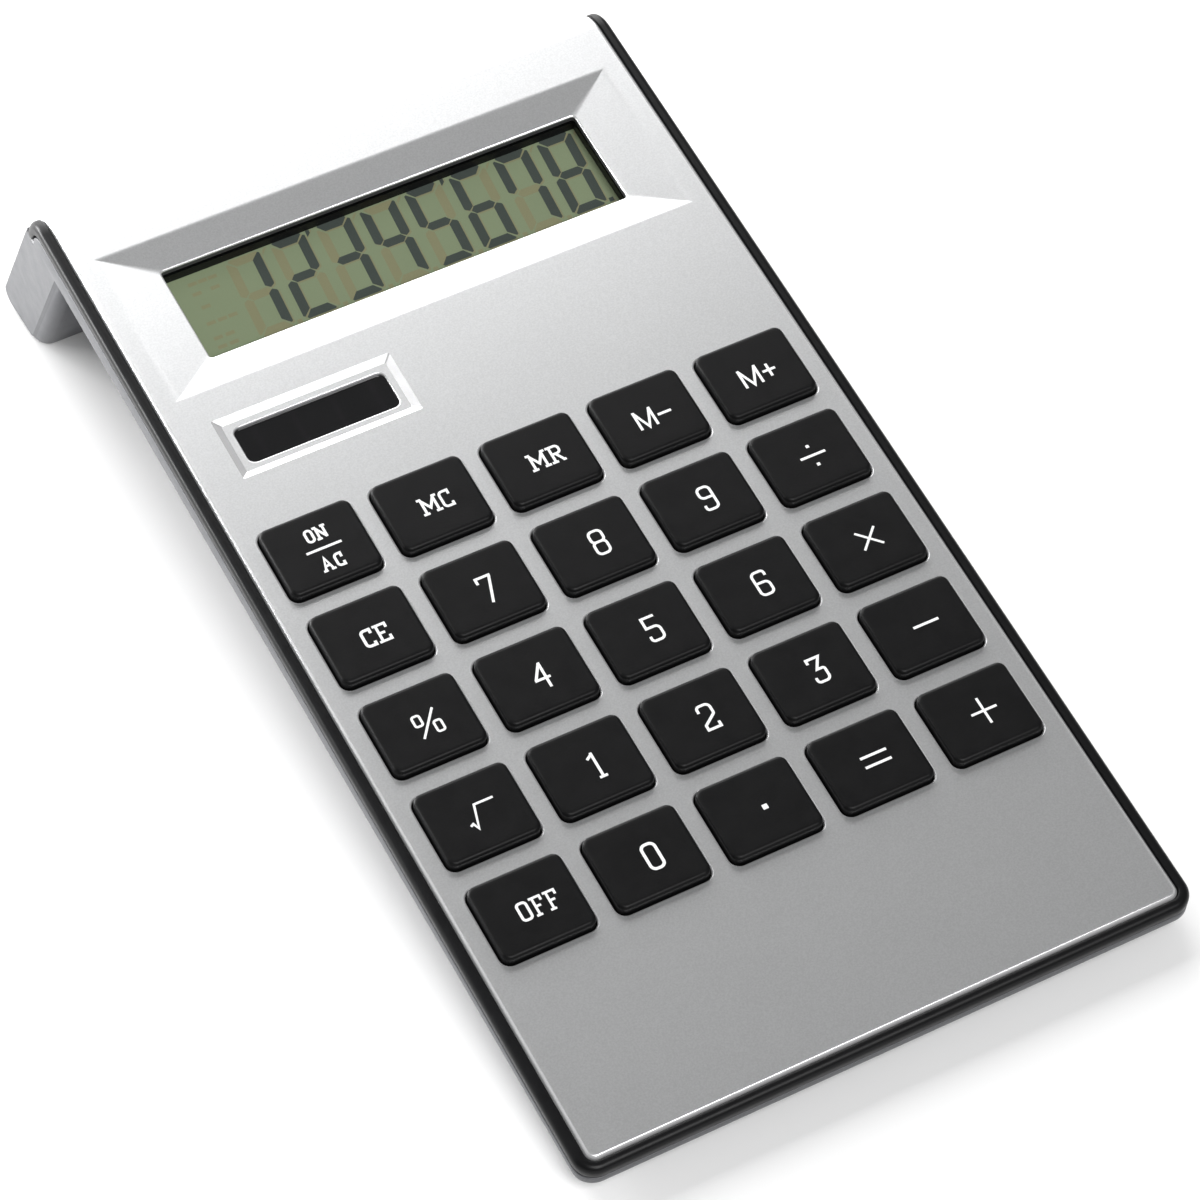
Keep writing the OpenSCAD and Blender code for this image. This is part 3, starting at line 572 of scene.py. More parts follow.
def smooth_max(vals, k):
    m = max(vals)
    return m + k * math.log(sum(math.exp((v - m) / k) for v in vals))


def underside(x, y, t=0.0):
    """Height of the underside at a plan point, moved in by the wall t."""
    side = SIDE_Z0 - SIDE_SLOPE * (y - BODY_FRONT)
    g = t / math.sin(math.atan(FLANK))
    return smooth_max([
        BELLY + t,
        above_desk(y, FRONT_GAP) + t,
        side - (BODY_W - abs(x)) / FLANK + g,
    ], 0.16)


def shell_slab():
    sh = Shape()
    r = CORNER_R
    y_rear = bent(0, S_BEND, SHELL_TOP)[1]
    n_side = 44
    ys = [BODY_FRONT + r + (CURL_Y - BODY_FRONT - r) * k / n_side for k in range(n_side + 1)]
    ys += [CURL_Y + (y_rear - CURL_Y) * math.sin(math.pi / 2 * k / 6) for k in range(1, 7)]
    n = 12
    base = [((-BODY_W, y), (1, 0), None) for y in ys[::-1]]
    base += [((-BODY_W + r, BODY_FRONT + r), None, math.pi + math.pi / 2 * k / n) for k in range(1, n)]
    base += [((-BODY_W + r + (2 * BODY_W - 2 * r) * k / 24, BODY_FRONT), (0, 1), None) for k in range(25)]
    base += [((BODY_W - r, BODY_FRONT + r), None, 1.5 * math.pi + math.pi / 2 * k / n) for k in range(1, n)]
    base += [((BODY_W, y), (-1, 0), None) for y in ys]

    def plan(inset):
        out = []
        for p, q, a in base:
            if a is None:
                x, y = p[0] + q[0] * inset, p[1] + q[1] * inset
                if q[1]:
                    lim = BODY_W - r if inset < r else BODY_W - inset
                    x = p[0] / (BODY_W - r) * max(lim, 0)
                else:
                    y = max(y, BODY_FRONT + max(inset, r))
            else:
                rr, over = max(r - inset, 0), max(inset - r, 0)
                sx = -1 if math.cos(a) < 0 else 1
                x, y = p[0] + rr * math.cos(a) - sx * over, p[1] + rr * math.sin(a) + over
            out.append((x, y))
        return out

    def top(y, d):
        if y <= CURL_Y:
            return -d
        return -CURL_R + math.sqrt(max((CURL_R - d) ** 2 - (y - CURL_Y) ** 2, 0))

    edge_r = 1.25
    outer, z_top = plan(0), SHELL_TOP

    def layer(t, insets):
        rings = []
        for i, lift in insets:
            pts = plan(i + t)
            rings.append([(x, y, underside(x, y, t) + lift) for x, y in pts])
        return rings

    arc = [(edge_r * (1 - math.cos(a)),
            edge_r * (1 - math.sin(a))) for a in [math.pi / 2 * k / 8 for k in range(9)]]
    rest = [(v, 0) for v in (1.8, 2.5, 3.4, 4.2, 5, 5.6, 6.2, 6.8, 7.4, 8, 8.6, 9.3, 10, 11.5, 14, 20, 30,
                             40, 49.999)]
    wall_top = [[(x, y, top(y, z_top)) for x, y in plan(0.12)],
                [(x, y, top(y, z_top + 0.04)) for x, y in plan(0.04)],
                [(x, y, top(y, z_top + 0.14)) for x, y in outer]]
    inner_rest = [(v, 0) for v in (0, 1.0, 2.5, 4.0, 5, 5.6, 6.2, 6.8, 7.4, 8, 9, 10, 12, 18, 28, 38,
                                   48.399)]
    inner_top = [(x, y, top(y, z_top)) for x, y in plan(SHELL_WALL)]
    inner = layer(SHELL_WALL, inner_rest)
    rings = inner[::-1] + [inner_top] + wall_top + layer(0, arc) + layer(0, rest)
    sh.loft(rings, closed=False)
    return sh


def corner_arc(p, q, s, r, steps):
    """Points of a rounding of radius r at the corner q between p and s, held within half of either side."""
    q = np.array(q, float)
    a, b = np.array(p, float) - q, np.array(s, float) - q
    la, lb = np.linalg.norm(a), np.linalg.norm(b)
    a, b = a / la, b / lb
    half = math.acos(max(-1, min(1, float(a @ b)))) / 2
    r = min(r, la * 0.5 * math.tan(half), lb * 0.5 * math.tan(half))
    c = q + (a + b) / np.linalg.norm(a + b) * r / math.sin(half)
    t0, t1 = q + a * r / math.tan(half) - c, q + b * r / math.tan(half) - c
    a0 = math.atan2(t0[1], t0[0])
    turn = math.atan2(t0[0] * t1[1] - t0[1] * t1[0], float(t0 @ t1))
    angles = [a0 + turn * k / steps for k in range(steps + 1)]
    return [c + r * np.array([math.cos(v), math.sin(v)]) for v in angles]


def foot_profile(shrink=0.0):
    """Side outline of the foot as (y, z), with its heel and toe rounded."""
    fall = -(DOWN[0] * math.sin(TILT) + DOWN[1] * math.cos(TILT))

    def reach(d, h):
        p = on_rear(0, d)
        return (height(*p) - h) / fall

    t = shrink
    heel = on_rear(reach(t, PAD_H + t), t)
    toe = on_rear(reach(FOOT_T - t, PAD_H + t), FOOT_T - t)
    lip, s_top = 2.62 + t, 2.0 + t
    face = on_rear(0, FOOT_T - t)
    drop = (-lip - face[1]) / DOWN[1]
    skin = [bent(0, S_BEND + (CURL_Y - S_BEND) * k / 8, lip)[1:] for k in range(9)]
    pts = [(on_rear(s_top, t), 0.25), (on_rear(s_top, lip), 0), *[(q, 0) for q in skin]]
    pts += [(on_rear(drop, FOOT_T - t), 0), (toe, FOOT_TOE_R - t), (heel, FOOT_HEEL_R - t)]
    out = []
    for i, (q, r) in enumerate(pts):
        if r <= 0:
            out.append(q)
        else:
            out += corner_arc(pts[i - 1][0], q, pts[(i + 1) % len(pts)][0], r, 10)
    return out


def foot_block():
    sh = Shape()
    w, r = BODY_W - 0.01, FOOT_SIDE_R
    base = foot_profile()
    small = foot_profile(0.3)
    ahead = (-math.cos(TILT), math.sin(TILT))
    lean = -(ahead[0] * OUT[0] + ahead[1] * OUT[1])
    top = on_rear(0, 0)

    def depth(p):
        return -((p[0] - top[0]) * OUT[0] + (p[1] - top[1]) * OUT[1])

    def ring(x, prof, q):
        out = []
        for y, z in prof:
            k = -q * max(0.0, min(1.0, (depth((y, z)) - 9) / FOOT_SIDE_R)) / lean
            out.append((x, y + ahead[0] * k, z + ahead[1] * k))
        return out

    rings, flags = [], []
    xs = [(w, small, r)]
    steps = 9
    for k in range(steps + 1):
        a = math.pi / 2 * k / steps
        x = w - 0.3 - (r - 0.3) * (1 - math.cos(a)) if k else w - 0.3
        xs.append((x, base, r * (1 - math.sin(a)) if k else r - 0.02))
    for x, prof, q in xs:
        rings.append(ring(x, prof, q))
    rings += [ring(-x, prof, q) for x, prof, q in xs[::-1]]
    ids = sh.loft(rings)
    sh.face(ids[0], False)
    sh.face(ids[-1][::-1], False)
    return sh


def cut(obj, cutter):
    """Subtracts a closed cutter from a piece and applies the result."""
    bpy.context.view_layer.update()
    m = obj.modifiers.new("cut", "BOOLEAN")
    m.operation = "DIFFERENCE"
    m.solver = "EXACT"
    m.object = cutter
    dg = bpy.context.evaluated_depsgraph_get()
    me = bpy.data.meshes.new_from_object(obj.evaluated_get(dg))
    obj.modifiers.remove(m)
    old = obj.data
    obj.data = me
    bpy.data.meshes.remove(old)
    bpy.data.objects.remove(cutter)


def prism(pts, z0, z1):
    """A closed cutter in the plate frame."""
    sh = Shape()
    a, b = sh.loft([at(pts, z0), at(pts, z1)], smooth=False)
    sh.face(a[::-1])
    sh.face(b)
    me = bpy.data.meshes.new("cutter")
    me.from_pydata(sh.v, [], sh.f)
    bm = bmesh.new()
    bm.from_mesh(me)
    bmesh.ops.recalc_face_normals(bm, faces=bm.faces)
    bm.to_mesh(me)
    bm.free()
    me.transform(PLATE)
    o = bpy.data.objects.new("cutter", me)
    bpy.context.scene.collection.objects.link(o)
    return o


def round_cut(x, y, r, n, z0, z1):
    """A round cutter with n sides."""
    angles = [2 * math.pi * k / n for k in range(n)]
    return prism([(x + r * math.cos(a), y + r * math.sin(a)) for a in angles], z0, z1)


def lower_shell():
    slab = shell_slab().build("shell_slab", [MATS["grey_shell"]], "case", "grey_shell", ["lower_shell"])
    foot_block().build("shell_foot", [MATS["grey_shell"]], "case", "grey_shell")
    lo, hi = span("battery_door")
    w = hi[0] - lo[0] + 2 * DOOR_GAP
    y0, y1 = hi[1] - DOOR_D - DOOR_GAP, hi[1] + DOOR_GAP + DOOR_TRAVEL
    pocket = round_rect((lo[0] + hi[0]) / 2, (y0 + y1) / 2, w, y1 - y0, 1.0)
    cut(slab, prism(pocket, BELLY - 1, BELLY + 1.45))
    lo, hi = span("button_cell")
    x, y, r = (lo[0] + hi[0]) / 2, (lo[1] + hi[1]) / 2, (hi[0] - lo[0]) / 2
    cut(slab, round_cut(x, y, r + CELL_GAP, 40, BELLY - 1, BELLY + 3))
    (x0, y0, _), (x1, y1, _) = span("case_screws")
    for x in (x0 + HEAD_R, x1 - HEAD_R):
        for y in (y0 + HEAD_R, y1 - HEAD_R):
            cut(slab, round_cut(x, y, BORE_R, 32, BELLY - 2, BELLY + 3 if y > 0 else SIDE_Z0 + 0.5))


# ---- Keys and their legends ----


def key_cap(name):
    cx, cy, w, d, top = key_box(name)
    sh = Shape()
    r = KEY_EDGE
    rings = [at(round_rect(cx, cy, w - 2 * r - 0.6, d - 2 * r - 0.6, 0.5, 8), top)]
    for k in range(7):
        a = math.pi / 2 * k / 6
        i = r * (1 - math.sin(a))
        rings.append(at(round_rect(cx, cy, w - 2 * i, d - 2 * i, max(KEY_R - i, 0.3), 8),
                        top - r * (1 - math.cos(a))))
    rings.append(at(round_rect(cx, cy, w, d, KEY_R, 8), -2.4))
    rings.append(at(round_rect(cx, cy, w + 1, d + 1, 1.0, 8), -2.4))
    rings.append(at(round_rect(cx, cy, w + 1, d + 1, 1.0, 8), -3.2))
    rings.append(at(round_rect(cx, cy, 6, 6, 2.99, 8), -3.2))
    rings.append(at(round_rect(cx, cy, 6, 6, 2.99, 8), -3.4))
    n = len(rings)
    ids = sh.loft(rings, smooth=[True] * 7 + [False] * (n - 8))
    sh.face(ids[0], True)
    sh.face(ids[-1][::-1])
    sh.build("cap_" + name[4:], [MATS["key_plastic"]], name, "key_plastic", [name])


def ribbon(sh, path, w, z, closed=False):
    """A flat stroke of width w along a path of (x, y, radius) points, mitred at its corners."""
    pts = []
    n = len(path)
    for i, p in enumerate(path):
        q = np.array(p[:2], float)
        r = p[2] if len(p) > 2 else 0
        if not r or (not closed and i in (0, n - 1)):
            pts.append(q)
        else:
            pts += corner_arc(path[i - 1][:2], q, path[(i + 1) % n][:2], r, 6)
    m = len(pts)
    left, right = [], []
    for i in range(m):
        if closed:
            d0, d1 = pts[i] - pts[i - 1], pts[(i + 1) % m] - pts[i]
        else:
            d0 = pts[i] - pts[i - 1] if i else pts[1] - pts[0]
            d1 = pts[i + 1] - pts[i] if i < m - 1 else pts[-1] - pts[-2]
        d0, d1 = d0 / max(np.linalg.norm(d0), 1e-9), d1 / max(np.linalg.norm(d1), 1e-9)
        t = d0 + d1
        t = t / max(np.linalg.norm(t), 1e-9)
        nrm = np.array([-t[1], t[0]])
        k = w / 2 / max(0.45, float(nrm @ np.array([-d0[1], d0[0]])))
        left.append((*(pts[i] + nrm * k), z))
        right.append((*(pts[i] - nrm * k), z))
    a, b = sh.ring(left), sh.ring(right)
    for i in range(m if closed else m - 1):
        j = (i + 1) % m
        sh.face((b[i], b[j], a[j], a[i]))


DIGIT_W, SIGN_W, LETTER_W = 0.43, 0.37, 0.42


def letter(c, x0, x1, y1, y0, w):
    """Strokes of a slab-serif capital in the box from (x0, y0) to (x1, y1), given by stroke centres."""
    x0, x1, y0, y1 = x0 + w / 2, x1 - w / 2, y0 + w / 2, y1 - w / 2
    s = 0.42
    mx, my = (x0 + x1) / 2, (y0 + y1) / 2
    if c == "O":
        return [([(x0, y0, .5), (x1, y0, .5), (x1, y1, .5), (x0, y1, .5)], True)]
    if c == "C":
        return [([(x1, y1 - 0.75), (x1, y1 - 0.02), (x0, y1, .55), (x0, y0, .55), (x1, y0 + 0.02),
                  (x1, y0 + 0.62)], False),
                ([(mx, y1), (x1 + w / 2, y1)], False), ([(mx, y0), (x1 + w / 2, y0)], False)]
    if c == "N":
        return [([(x0 + .25, y0), (x0 + .25, y1)], False),
                ([(x0 + .2, y1 - .05), (x1 - .25, y0 + .05)], False),
                ([(x1 - .25, y0), (x1 - .25, y1)], False), ([(x0 - w / 2, y1), (x0 + .4, y1)], False),
                ([(x0 - w / 2, y0), (x0 + .6, y0)], False), ([(x1 - .6, y1), (x1 + w / 2, y1)], False)]
    if c == "A":
        return [([(x0 + .2, y0), (mx, y1 + .1), (x1 - .2, y0)], False),
                ([(x0 + .45, y0 + .8), (x1 - .45, y0 + .8)], False),
                ([(x0 - w / 2, y0), (x0 + .5, y0)], False), ([(x1 - .5, y0), (x1 + w / 2, y0)], False)]
    if c == "M":
        return [([(x0 + .35, y0), (x0 + .35, y1)], False), ([(x1 - .35, y0), (x1 - .35, y1)], False),
                ([(x0 + .3, y1 - .1), (mx, y0 + .9), (x1 - .3, y1 - .1)], False),
                ([(x0 - w / 2, y1), (x0 + .5, y1)], False), ([(x1 - .5, y1), (x1 + w / 2, y1)], False),
                ([(x0 - w / 2, y0), (x0 + .8, y0)], False), ([(x1 - .8, y0), (x1 + w / 2, y0)], False)]
    if c == "R":
        return [([(x0 + .35, y0), (x0 + .35, y1)], False),
                ([(x0 - w / 2, y1), (x1 - .1, y1, .55), (x1 - .1, my + .05, .55), (x0 + .3, my + .05)],
                 False),
                ([(mx, my), (x1 - .12, y0)], False), ([(x0 - w / 2, y0), (x0 + .8, y0)],
                                                      False), ([(x1 - .35, y0), (x1 + w / 2, y0)], False)]
    if c == "E":
        return [([(x0 + s - .1, y0), (x0 + s - .1, y1)], False),
                ([(x0 - w / 2, y1), (x1, y1), (x1, y1 - .75)], False),
                ([(x0 - w / 2, y0), (x1, y0), (x1, y0 + .75)], False), ([(x0 + .3, my), (x1 - .45, my)],
                        False)]
    if c == "F":
        return [([(x0 + s - .1, y0), (x0 + s - .1, y1)], False),
                ([(x0 - w / 2, y1), (x1, y1), (x1, y1 - .75)], False),
                ([(x0 - w / 2, y0), (x0 + .75, y0)], False), ([(x0 + .3, my), (x1 - .35, my)], False)]
    if c == "m":
        return [([(x0, y0 - w / 2), (x0, y1 + w / 2)], False),
                ([(x1, y0 - w / 2), (x1, y1 + w / 2)], False),
                ([(x0, y1 + .1), (mx, y0 - .05), (x1, y1 + .1)], False)]
    raise ValueError(c)


def digit(c, x0, x1, y1, y0):
    """Strokes of a square-shouldered digit in a box."""
    w = DIGIT_W
    x0, x1, y0, y1 = x0 + w / 2, x1 - w / 2, y0 + w / 2, y1 - w / 2
    my, r = (y0 + y1) / 2, 0.72
    if c == "0":
        return [([(x0, y0, .8), (x1, y0, .8), (x1, y1, .8), (x0, y1, .8)], True)]
    if c == "1":
        x = (x0 + x1) / 2 + 0.02
        return [([(x, y0), (x, y1 + w / 2)], False), ([(x - .95, y1 - .72), (x + .1, y1 - .02)], False),
                ([(x - .6, y0), (x + .68, y0)], False)]
    if c == "2":
        return [([(x0, y1 - 1.1), (x0, y1, r), (x1, y1, r), (x1, my + .25, .5), (x0, y0 + .85, .25),
                  (x0, y0), (x1, y0), (x1, y0 + .85)], False)]
    if c == "3":
        return [([(x0, y1 - .75), (x0, y1), (x1, y1), (x0 + .85, my + .1), (x0 + 1.35, my + .1),
                  (x1, my + .1, .7), (x1, y0, .7), (x0, y0, .6), (x0, y0 + .95)], False)]
    if c == "4":
        x = x1 - .5
        return [([(x, y0 - w / 2), (x, y1 + w / 2)], False),
                ([(x - .05, y1 - .02), (x0 + .06, y0 + 1.56)], False),
                ([(x0 - .1, y0 + 1.52), (x1 + .2, y0 + 1.52)], False)]
    if c == "5":
        return [([(x1 - .2 + w / 2, y1), (x0 + .05, y1), (x0 + .05, my + .3), (x1, my + .3, r),
                  (x1, y0, r), (x0, y0, r), (x0, y0 + .95)], False)]
    if c == "6":
        return [([(x1, y1 - .95), (x1, y1, r), (x0, y1, r), (x0, y0, r), (x1, y0, r), (x1, my + .15, r),
                  (x0 + .1, my + .15)], False)]
    if c == "7":
        return [([(x0, y1 - 1.0), (x0, y1), (x1, y1), (x1 - .02, y1 - .2), (x0 + .72, y0 - w / 2)], False)]
    if c == "8":
        return [([(x0, my + .1, .6), (x1, my + .1, .6), (x1, y1, r), (x0, y1, r)], True),
                ([(x0, y0, r), (x1, y0, r), (x1, my + .1, .6), (x0, my + .1, .6)], True)]
    if c == "9":
        return [([(x0, y0 + .95), (x0, y0, r), (x1, y0, r), (x1, y1, r), (x0, y1, r), (x0, my + .12, r),
                  (x1 - .1, my + .12)], False)]
    raise ValueError(c)


def line(*pts, closed=False):
    return [(list(pts), closed)]


def legend_strokes(name):
    """(strokes, width) groups for a key; x to the right and y to the rear of the key's middle."""
    L, S = LETTER_W, SIGN_W
    g = {
        "on_ac": [(letter("O", -1.45, 0.0, 3.6, 1.07, .42), .42),
                  (letter("N", .15, 2.2, 3.6, 1.07, .40), .40),
                  (line((-2.5, -.37), (3.27, -.37)), .42),
                  (letter("A", -1.5, .5, -1.95, -4.5, .40), .40), (letter("C", .8, 2.25, -1.95, -4.5, .42),
                          .42)],
        "mc": [(letter("M", -2.15, 1.0, 1.25, -1.95, L), L), (letter("C", 1.25, 3.1, 1.25, -1.95, L), L)],
        "mr": [(letter("M", -2.3, .85, 1.33, -1.9, L), L), (letter("R", 1.05, 3.35, 1.33, -1.9, L), L)],
        "m_minus": [(letter("m", -2.57, .57, 1.33, -2.17, .44), .44),
                    (line((1.07, -.6), (3.33, -.6)), .44)],
        "m_plus": [(letter("m", -2.9, .33, 1.27, -2.23, .44), .44), (line((.83, -.53), (3.0, -.53)), .44),
                   (line((1.92, .67), (1.92, -1.77)), .44)],
        "ce": [(letter("C", -1.78, .1, 1.07, -2.23, L + .04), L + .04),
               (letter("E", .42, 2.58, 1.07, -2.23, L), L)],
        "7": [(digit("7", -.83, 1.8, 1.92, -2.98), DIGIT_W)],
        "8": [(digit("8", -.6, 1.9, 2.0, -2.67), DIGIT_W)],
        "9": [(digit("9", -.67, 1.77, 1.9, -2.67), DIGIT_W)],
        "divide": [(line((-1.93, -.43), (2.33, -.43)), S + .06), (line((-.06, 1.33), (.46, 1.33)), .52),
                   (line((-.06, -2.23), (.46, -2.23)), .52)],
        "percent": [([([(-1.44, -.46, .35), (-.26, -.46, .35), (-.26, 1.36, .35), (-1.44, 1.36, .35)],
                       True),
                      ([(1.22, -2.45, .35), (2.36, -2.45, .35), (2.36, -.55, .35), (1.22, -.55, .35)],
                       True),
                      ([(2.15, 1.7), (-1.2, -2.67)], False)], S)],
        "4": [(digit("4", -.9, 1.75, 1.8, -2.75), DIGIT_W)],
        "5": [(digit("5", -.63, 1.9, 1.97, -2.67), DIGIT_W)],
        "6": [(digit("6", -.67, 1.83, 1.9, -2.7), DIGIT_W)],
        "multiply": [(line((-1.25, 1.3), (2.05, -2.02)), S), (line((2.05, 1.3), (-1.25, -2.02)), S)],
        "root": [(line((-1.85, -1.75), (-1.35, -1.5), (-.93, -2.5), (.17, 1.38), (3.2, 1.38)), S)],
        "1": [(digit("1", -.3, 1.7, 1.75, -2.8), DIGIT_W)],
        "2": [(digit("2", -.6, 1.9, 1.95, -2.7), DIGIT_W)],
        "3": [(digit("3", -.63, 1.83, 1.97, -2.67), DIGIT_W)],
        "minus": [(line((-1.67, -.23), (2.6, -.23)), S + .06)],
        "off": [(letter("O", -2.35, -.48, 1.17, -2.1, L), L),
                (letter("F", -.1, 1.78, 1.17, -2.1, L - .04), L - .04),
                (letter("F", 2.13, 4.05, 1.17, -2.1, L - .04), L - .04)],
        "0": [(digit("0", -.52, 2.02, 1.85, -2.8), DIGIT_W + .04)],
        "point": [(line((.3, -.37), (1.14, -.37)), .84)],
        "equals": [(line((-1.5, .5), (2.83, .5)), S + .06), (line((-1.5, -1.17), (2.83, -1.17)), S + .06)],
        "plus": [(line((-1.6, -.17), (2.67, -.17)), S + .03), (line((.53, 2.15), (.53, -2.5)), S + .03)],
    }
    return g[name]


def legend(name):
    cx, cy, _, _, top = key_box(name)
    sh = Shape()
    k = 0
    for strokes, w in legend_strokes(name[4:]):
        for path, closed in strokes:
            ribbon(sh, [(cx + p[0], cy + p[1], *p[2:]) for p in path], w, top + 0.012 + 0.0015 * k, closed)
            k += 1
    sh.build("legend_" + name[4:], [MATS["ink"]], name, "key_plastic")


# ---- Display ----

SEGMENTS = {"1": "bc", "2": "abged", "3": "abgcd", "4": "fgbc", "5": "afgcd", "6": "afgedc", "7": "fabc",
            "8": "abcdefg"}


def segment_shapes(w, h, t, gap):
    """The seven bars of a digit in a box w by h, with mitred ends."""
    g, m = gap, h / 2
    k, c = t * 0.5, 0.62
    left_top = [(c / 2, h - c / 2 - g), (t, h - t - g), (t, m + k + g * .2), (k, m + g * .7),
                (.12, m + g + .35), (0, m + g + .6), (0, h - c - g * .5)]
    cap = [(c / 2 + g, h - c / 2), (c + g * .5, h), (w - c - g * .5, h), (w - c / 2 - g, h - c / 2),
           (w - t - g * .2, h - t), (t + g * .2, h - t)]
    return {
        "a": cap,
        "d": [(x, h - y) for x, y in cap],
        "f": left_top,
        "e": [(x, h - y) for x, y in left_top],
        "b": [(w - x, y) for x, y in left_top],
        "c": [(w - x, h - y) for x, y in left_top],
        "g": [(k + g * .9, m), (t + g * .4, m + k), (w - t - g * .4, m + k), (w - k - g * .9, m),
              (w - t - g * .4, m - k), (t + g * .4, m - k)],
    }


LCD_SHIFT = 1.5


def display():
    z = LCD_HI[2]
    sh = Shape()
    x0, x1, y0, y1 = LCD_LO[0], LCD_HI[0], LCD_LO[1], LCD_HI[1]
    t = (LCD_HI[2] - LCD_LO[2]) / 2
    cx, cy = (x0 + x1) / 2, (y0 + y1) / 2
    a = [at(round_rect(cx, cy, x1 - x0 - 2 * i, y1 - y0 - 2 * i, 0.1, 2), zz) for i,
         zz in ((0.15, z), (0, z - 0.12), (0, z - t))]
    low = round_rect(cx, cy + 1.5, x1 - x0, y1 - y0 - 3, 0.1, 2)
    ids = sh.loft(a + [at(low, z - t), at(low, z - 2 * t)], smooth=False)
    sh.face(ids[0])
    sh.face(ids[-1][::-1])
    sh.build("lcd_cell", [MATS["lcd_glass"]], "case", "lcd_glass", ["lcd_panel"])
    pitch, w, h, tk, slant = 7.85, 6.1, 15.7, 1.55, math.tan(math.radians(4))
    right0, cy = WINDOW[0] - 19.95, WINDOW[1] + LCD_SHIFT
    bars = segment_shapes(w, h, tk, 0.24)
    lit, ghost = Shape(), Shape()

    def put(sh, pts, ox, z):
        sh.face(sh.ring([(ox + x + (y - h / 2) * slant, cy - h / 2 + y, z) for x, y in pts]))

    for k, c in enumerate("12345678"):
        ox = right0 + pitch * k - w
        for s, pts in bars.items():
            if s in SEGMENTS[c]:
                put(lit, pts, ox, z + 0.012)
            put(ghost, [(x + .22, y - .3) for x, y in pts], ox, z + 0.004)
        dot = [(w + .35, 0), (w + 1.15, 0), (w + 1.15, .85), (w + .35, .85)]
        if k == 7:
            put(lit, dot, ox, z + 0.012)
        tick = [(w + .2, h - 1.3), (w + .75, h - .55), (w + 1.2, h), (w + .75, h), (w + .2, h - .6)]
        if k in (1, 4):
            put(lit, [(w + .3, h - 1.35), (w + .95, h - .75), (w + .95, h - .1), (w + .3, h - .1)], ox,
                z + 0.012)
        put(ghost, [(x + .2, y - .3) for x, y in tick], ox, z + 0.004)
        put(ghost, [(x + .2, y - .3) for x, y in dot], ox, z + 0.004)
    left = right0 - w - 6.6
    for y, bars_at in ((0.6, (0, 2.0)), (2.4, (0, 2.0)), (5.4, (0, 1.9, 3.7)), (8.6, (0.4,)),
                       (11.4, (0, 3.1)), (13.4, (0, 1.7, 3.4))):
        for x in bars_at:
            put(ghost, [(x, y), (x + 1.5, y), (x + 1.5, y + .7), (x, y + .7)], left, z + 0.004)
    lit.build("lcd_segments", [MATS["segment"]], "case", "lcd_glass")
    ghost.build("lcd_ghosts", [MATS["ghost"]], "case", "lcd_glass")


def lens(name, lo, hi, mats, slot, node):
    """A slab with softened edges; its outer face has the first material and the rest has the last."""
    (x0, y0, z0), (x1, y1, z1) = lo, hi
    cx, cy, w, d = (x0 + x1) / 2, (y0 + y1) / 2, x1 - x0, y1 - y0
    sh = Shape()
    steps = ((0.15, z1), (0.04, z1 - .04), (0, z1 - .15), (0, z0 + .1), (0.1, z0))
    rest = len(mats) - 1
    ids = sh.loft([at(round_rect(cx, cy, w - 2 * i, d - 2 * i, 1.0, 5), z) for i, z in steps], mat=rest)
    sh.face(ids[0])
    sh.face(ids[-1][::-1], mat=rest)
    sh.build(name, [MATS[m] for m in mats], "case", slot, [node])


front_panel()
upper_housing()
lower_shell()
for row in KEYS:
    for name in row:
        key_cap(name)
        legend(name)
display()
lens("window_lens", LENS_LO, LENS_HI, ["clear_lens", "clear_inner"], "clear_lens", "display_window")
lens("solar_lens", SOLAR_LO, SOLAR_HI, ["dark_lens"], "dark_lens", "solar_window")

# ---- Stage, light and camera ----


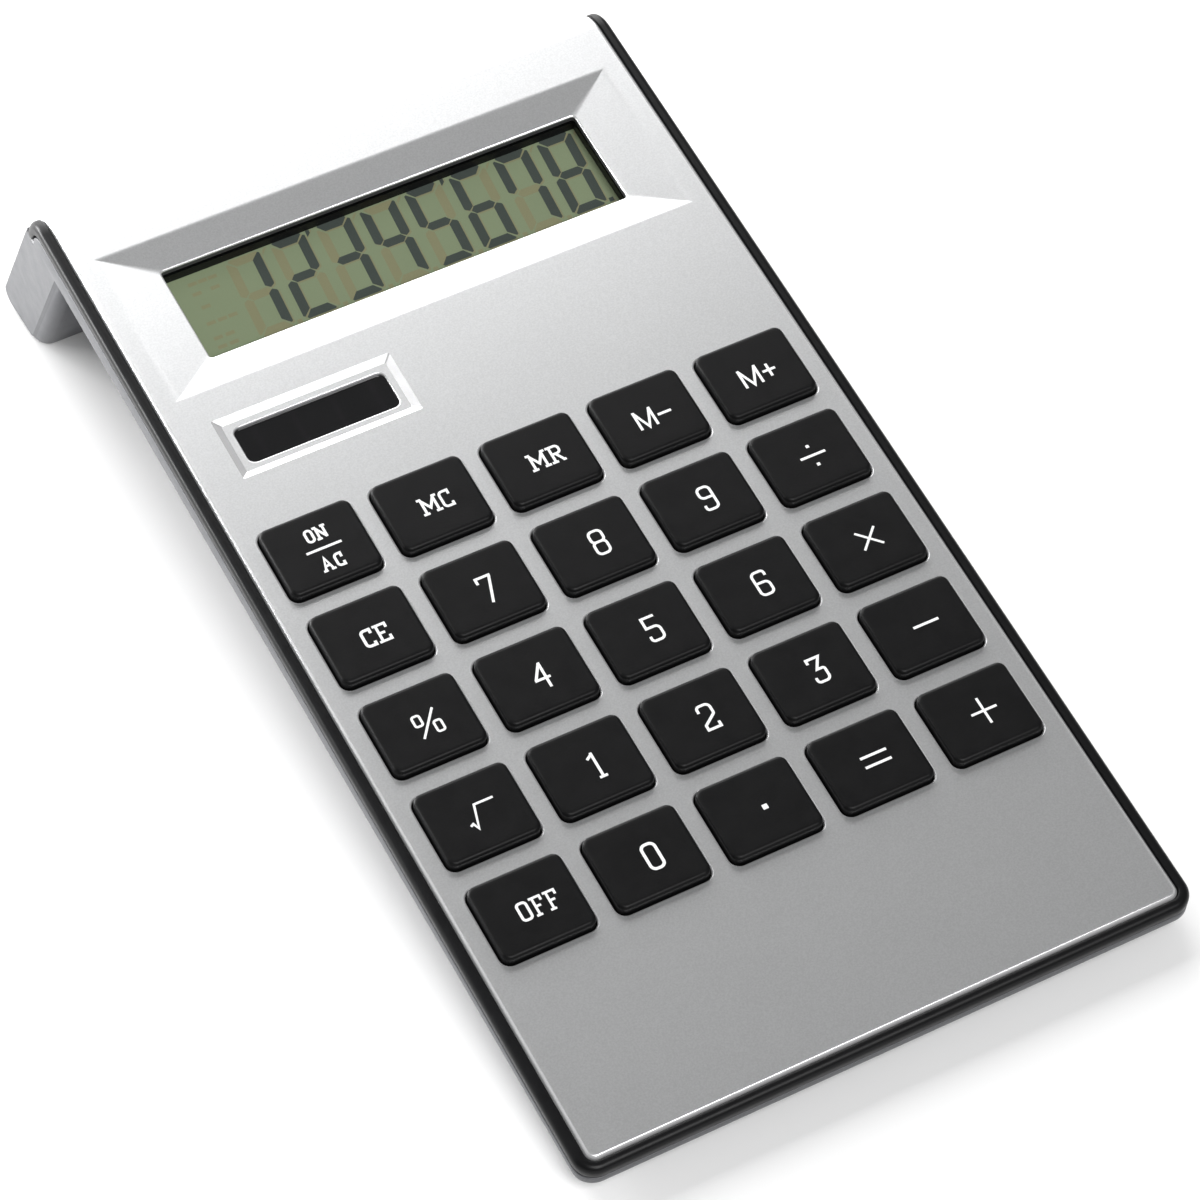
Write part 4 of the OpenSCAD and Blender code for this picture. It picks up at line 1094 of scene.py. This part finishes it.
def stage():
    me = bpy.data.meshes.new("floor")
    s = 6.0
    me.from_pydata([(-s, -s, 0), (s, -s, 0), (s, s, 0), (-s, s, 0)], [], [(0, 1, 2, 3)])
    floor = bpy.data.objects.new("floor", me)
    floor.location.z = -0.0002
    bpy.context.scene.collection.objects.link(floor)
    m, nt, b = new_mat("floor_white", (0.82, 0.82, 0.82), 0.9)
    b.inputs["Emission Color"].default_value = (1, 1, 1, 1)
    b.inputs["Emission Strength"].default_value = 0.08
    me.materials.append(m)


def area(name, where, target, size, power):
    d = bpy.data.lights.new(name, "AREA")
    d.shape = "RECTANGLE"
    d.size, d.size_y = size
    d.energy = power
    o = bpy.data.objects.new(name, d)
    o.location = where
    o.rotation_mode = "QUATERNION"
    o.rotation_quaternion = (Vector(target) - Vector(where)).to_track_quat("-Z", "Y")
    o.visible_camera = False
    bpy.context.scene.collection.objects.link(o)


def sun(name, toward, spread, strength):
    d = bpy.data.lights.new(name, "SUN")
    d.angle = math.radians(spread)
    d.energy = strength
    o = bpy.data.objects.new(name, d)
    o.rotation_mode = "QUATERNION"
    o.rotation_quaternion = (-Vector(toward)).to_track_quat("-Z", "Y")
    bpy.context.scene.collection.objects.link(o)


CAMERA_AT = (-213.333, -321.181, 592.056)
CAMERA_TURN = (33.2943, -3.0295, -27.8829)
CAMERA_LENS = 143.617


def camera():
    """The photograph's angle; its place is in plate millimetres and its turn in degrees from the plate."""
    cam = bpy.data.cameras.new("camera")
    cam.sensor_width = 36
    cam.lens = CAMERA_LENS
    cam.clip_start, cam.clip_end = 0.01, 50
    o = bpy.data.objects.new("camera", cam)
    turn = Matrix.Rotation(TILT, 3, "X") @ Euler([math.radians(a) for a in CAMERA_TURN]).to_matrix()
    o.matrix_world = Matrix.Translation(PLATE @ Vector(CAMERA_AT)) @ turn.to_4x4()
    bpy.context.scene.collection.objects.link(o)
    bpy.context.scene.camera = o


stage()
area("rear_softbox", (-0.02, 1.15, 0.7), (0, 0, 0.02), (1.7, 1.4), 31)
area("left_strip", (-0.32, 0.34, 0.08), (-0.05, 0.08, 0.02), (0.3, 0.12), 2.7)
sun("key", (0.05, -0.75, 1.0), 34, 2.2)
camera()

world = bpy.data.worlds.new("studio")
bpy.context.scene.world = world
world.use_nodes = True
world.node_tree.nodes["Background"].inputs["Color"].default_value = (1, 1, 1, 1)
world.node_tree.nodes["Background"].inputs["Strength"].default_value = 0.25
bpy.context.scene.view_settings.view_transform = "Standard"
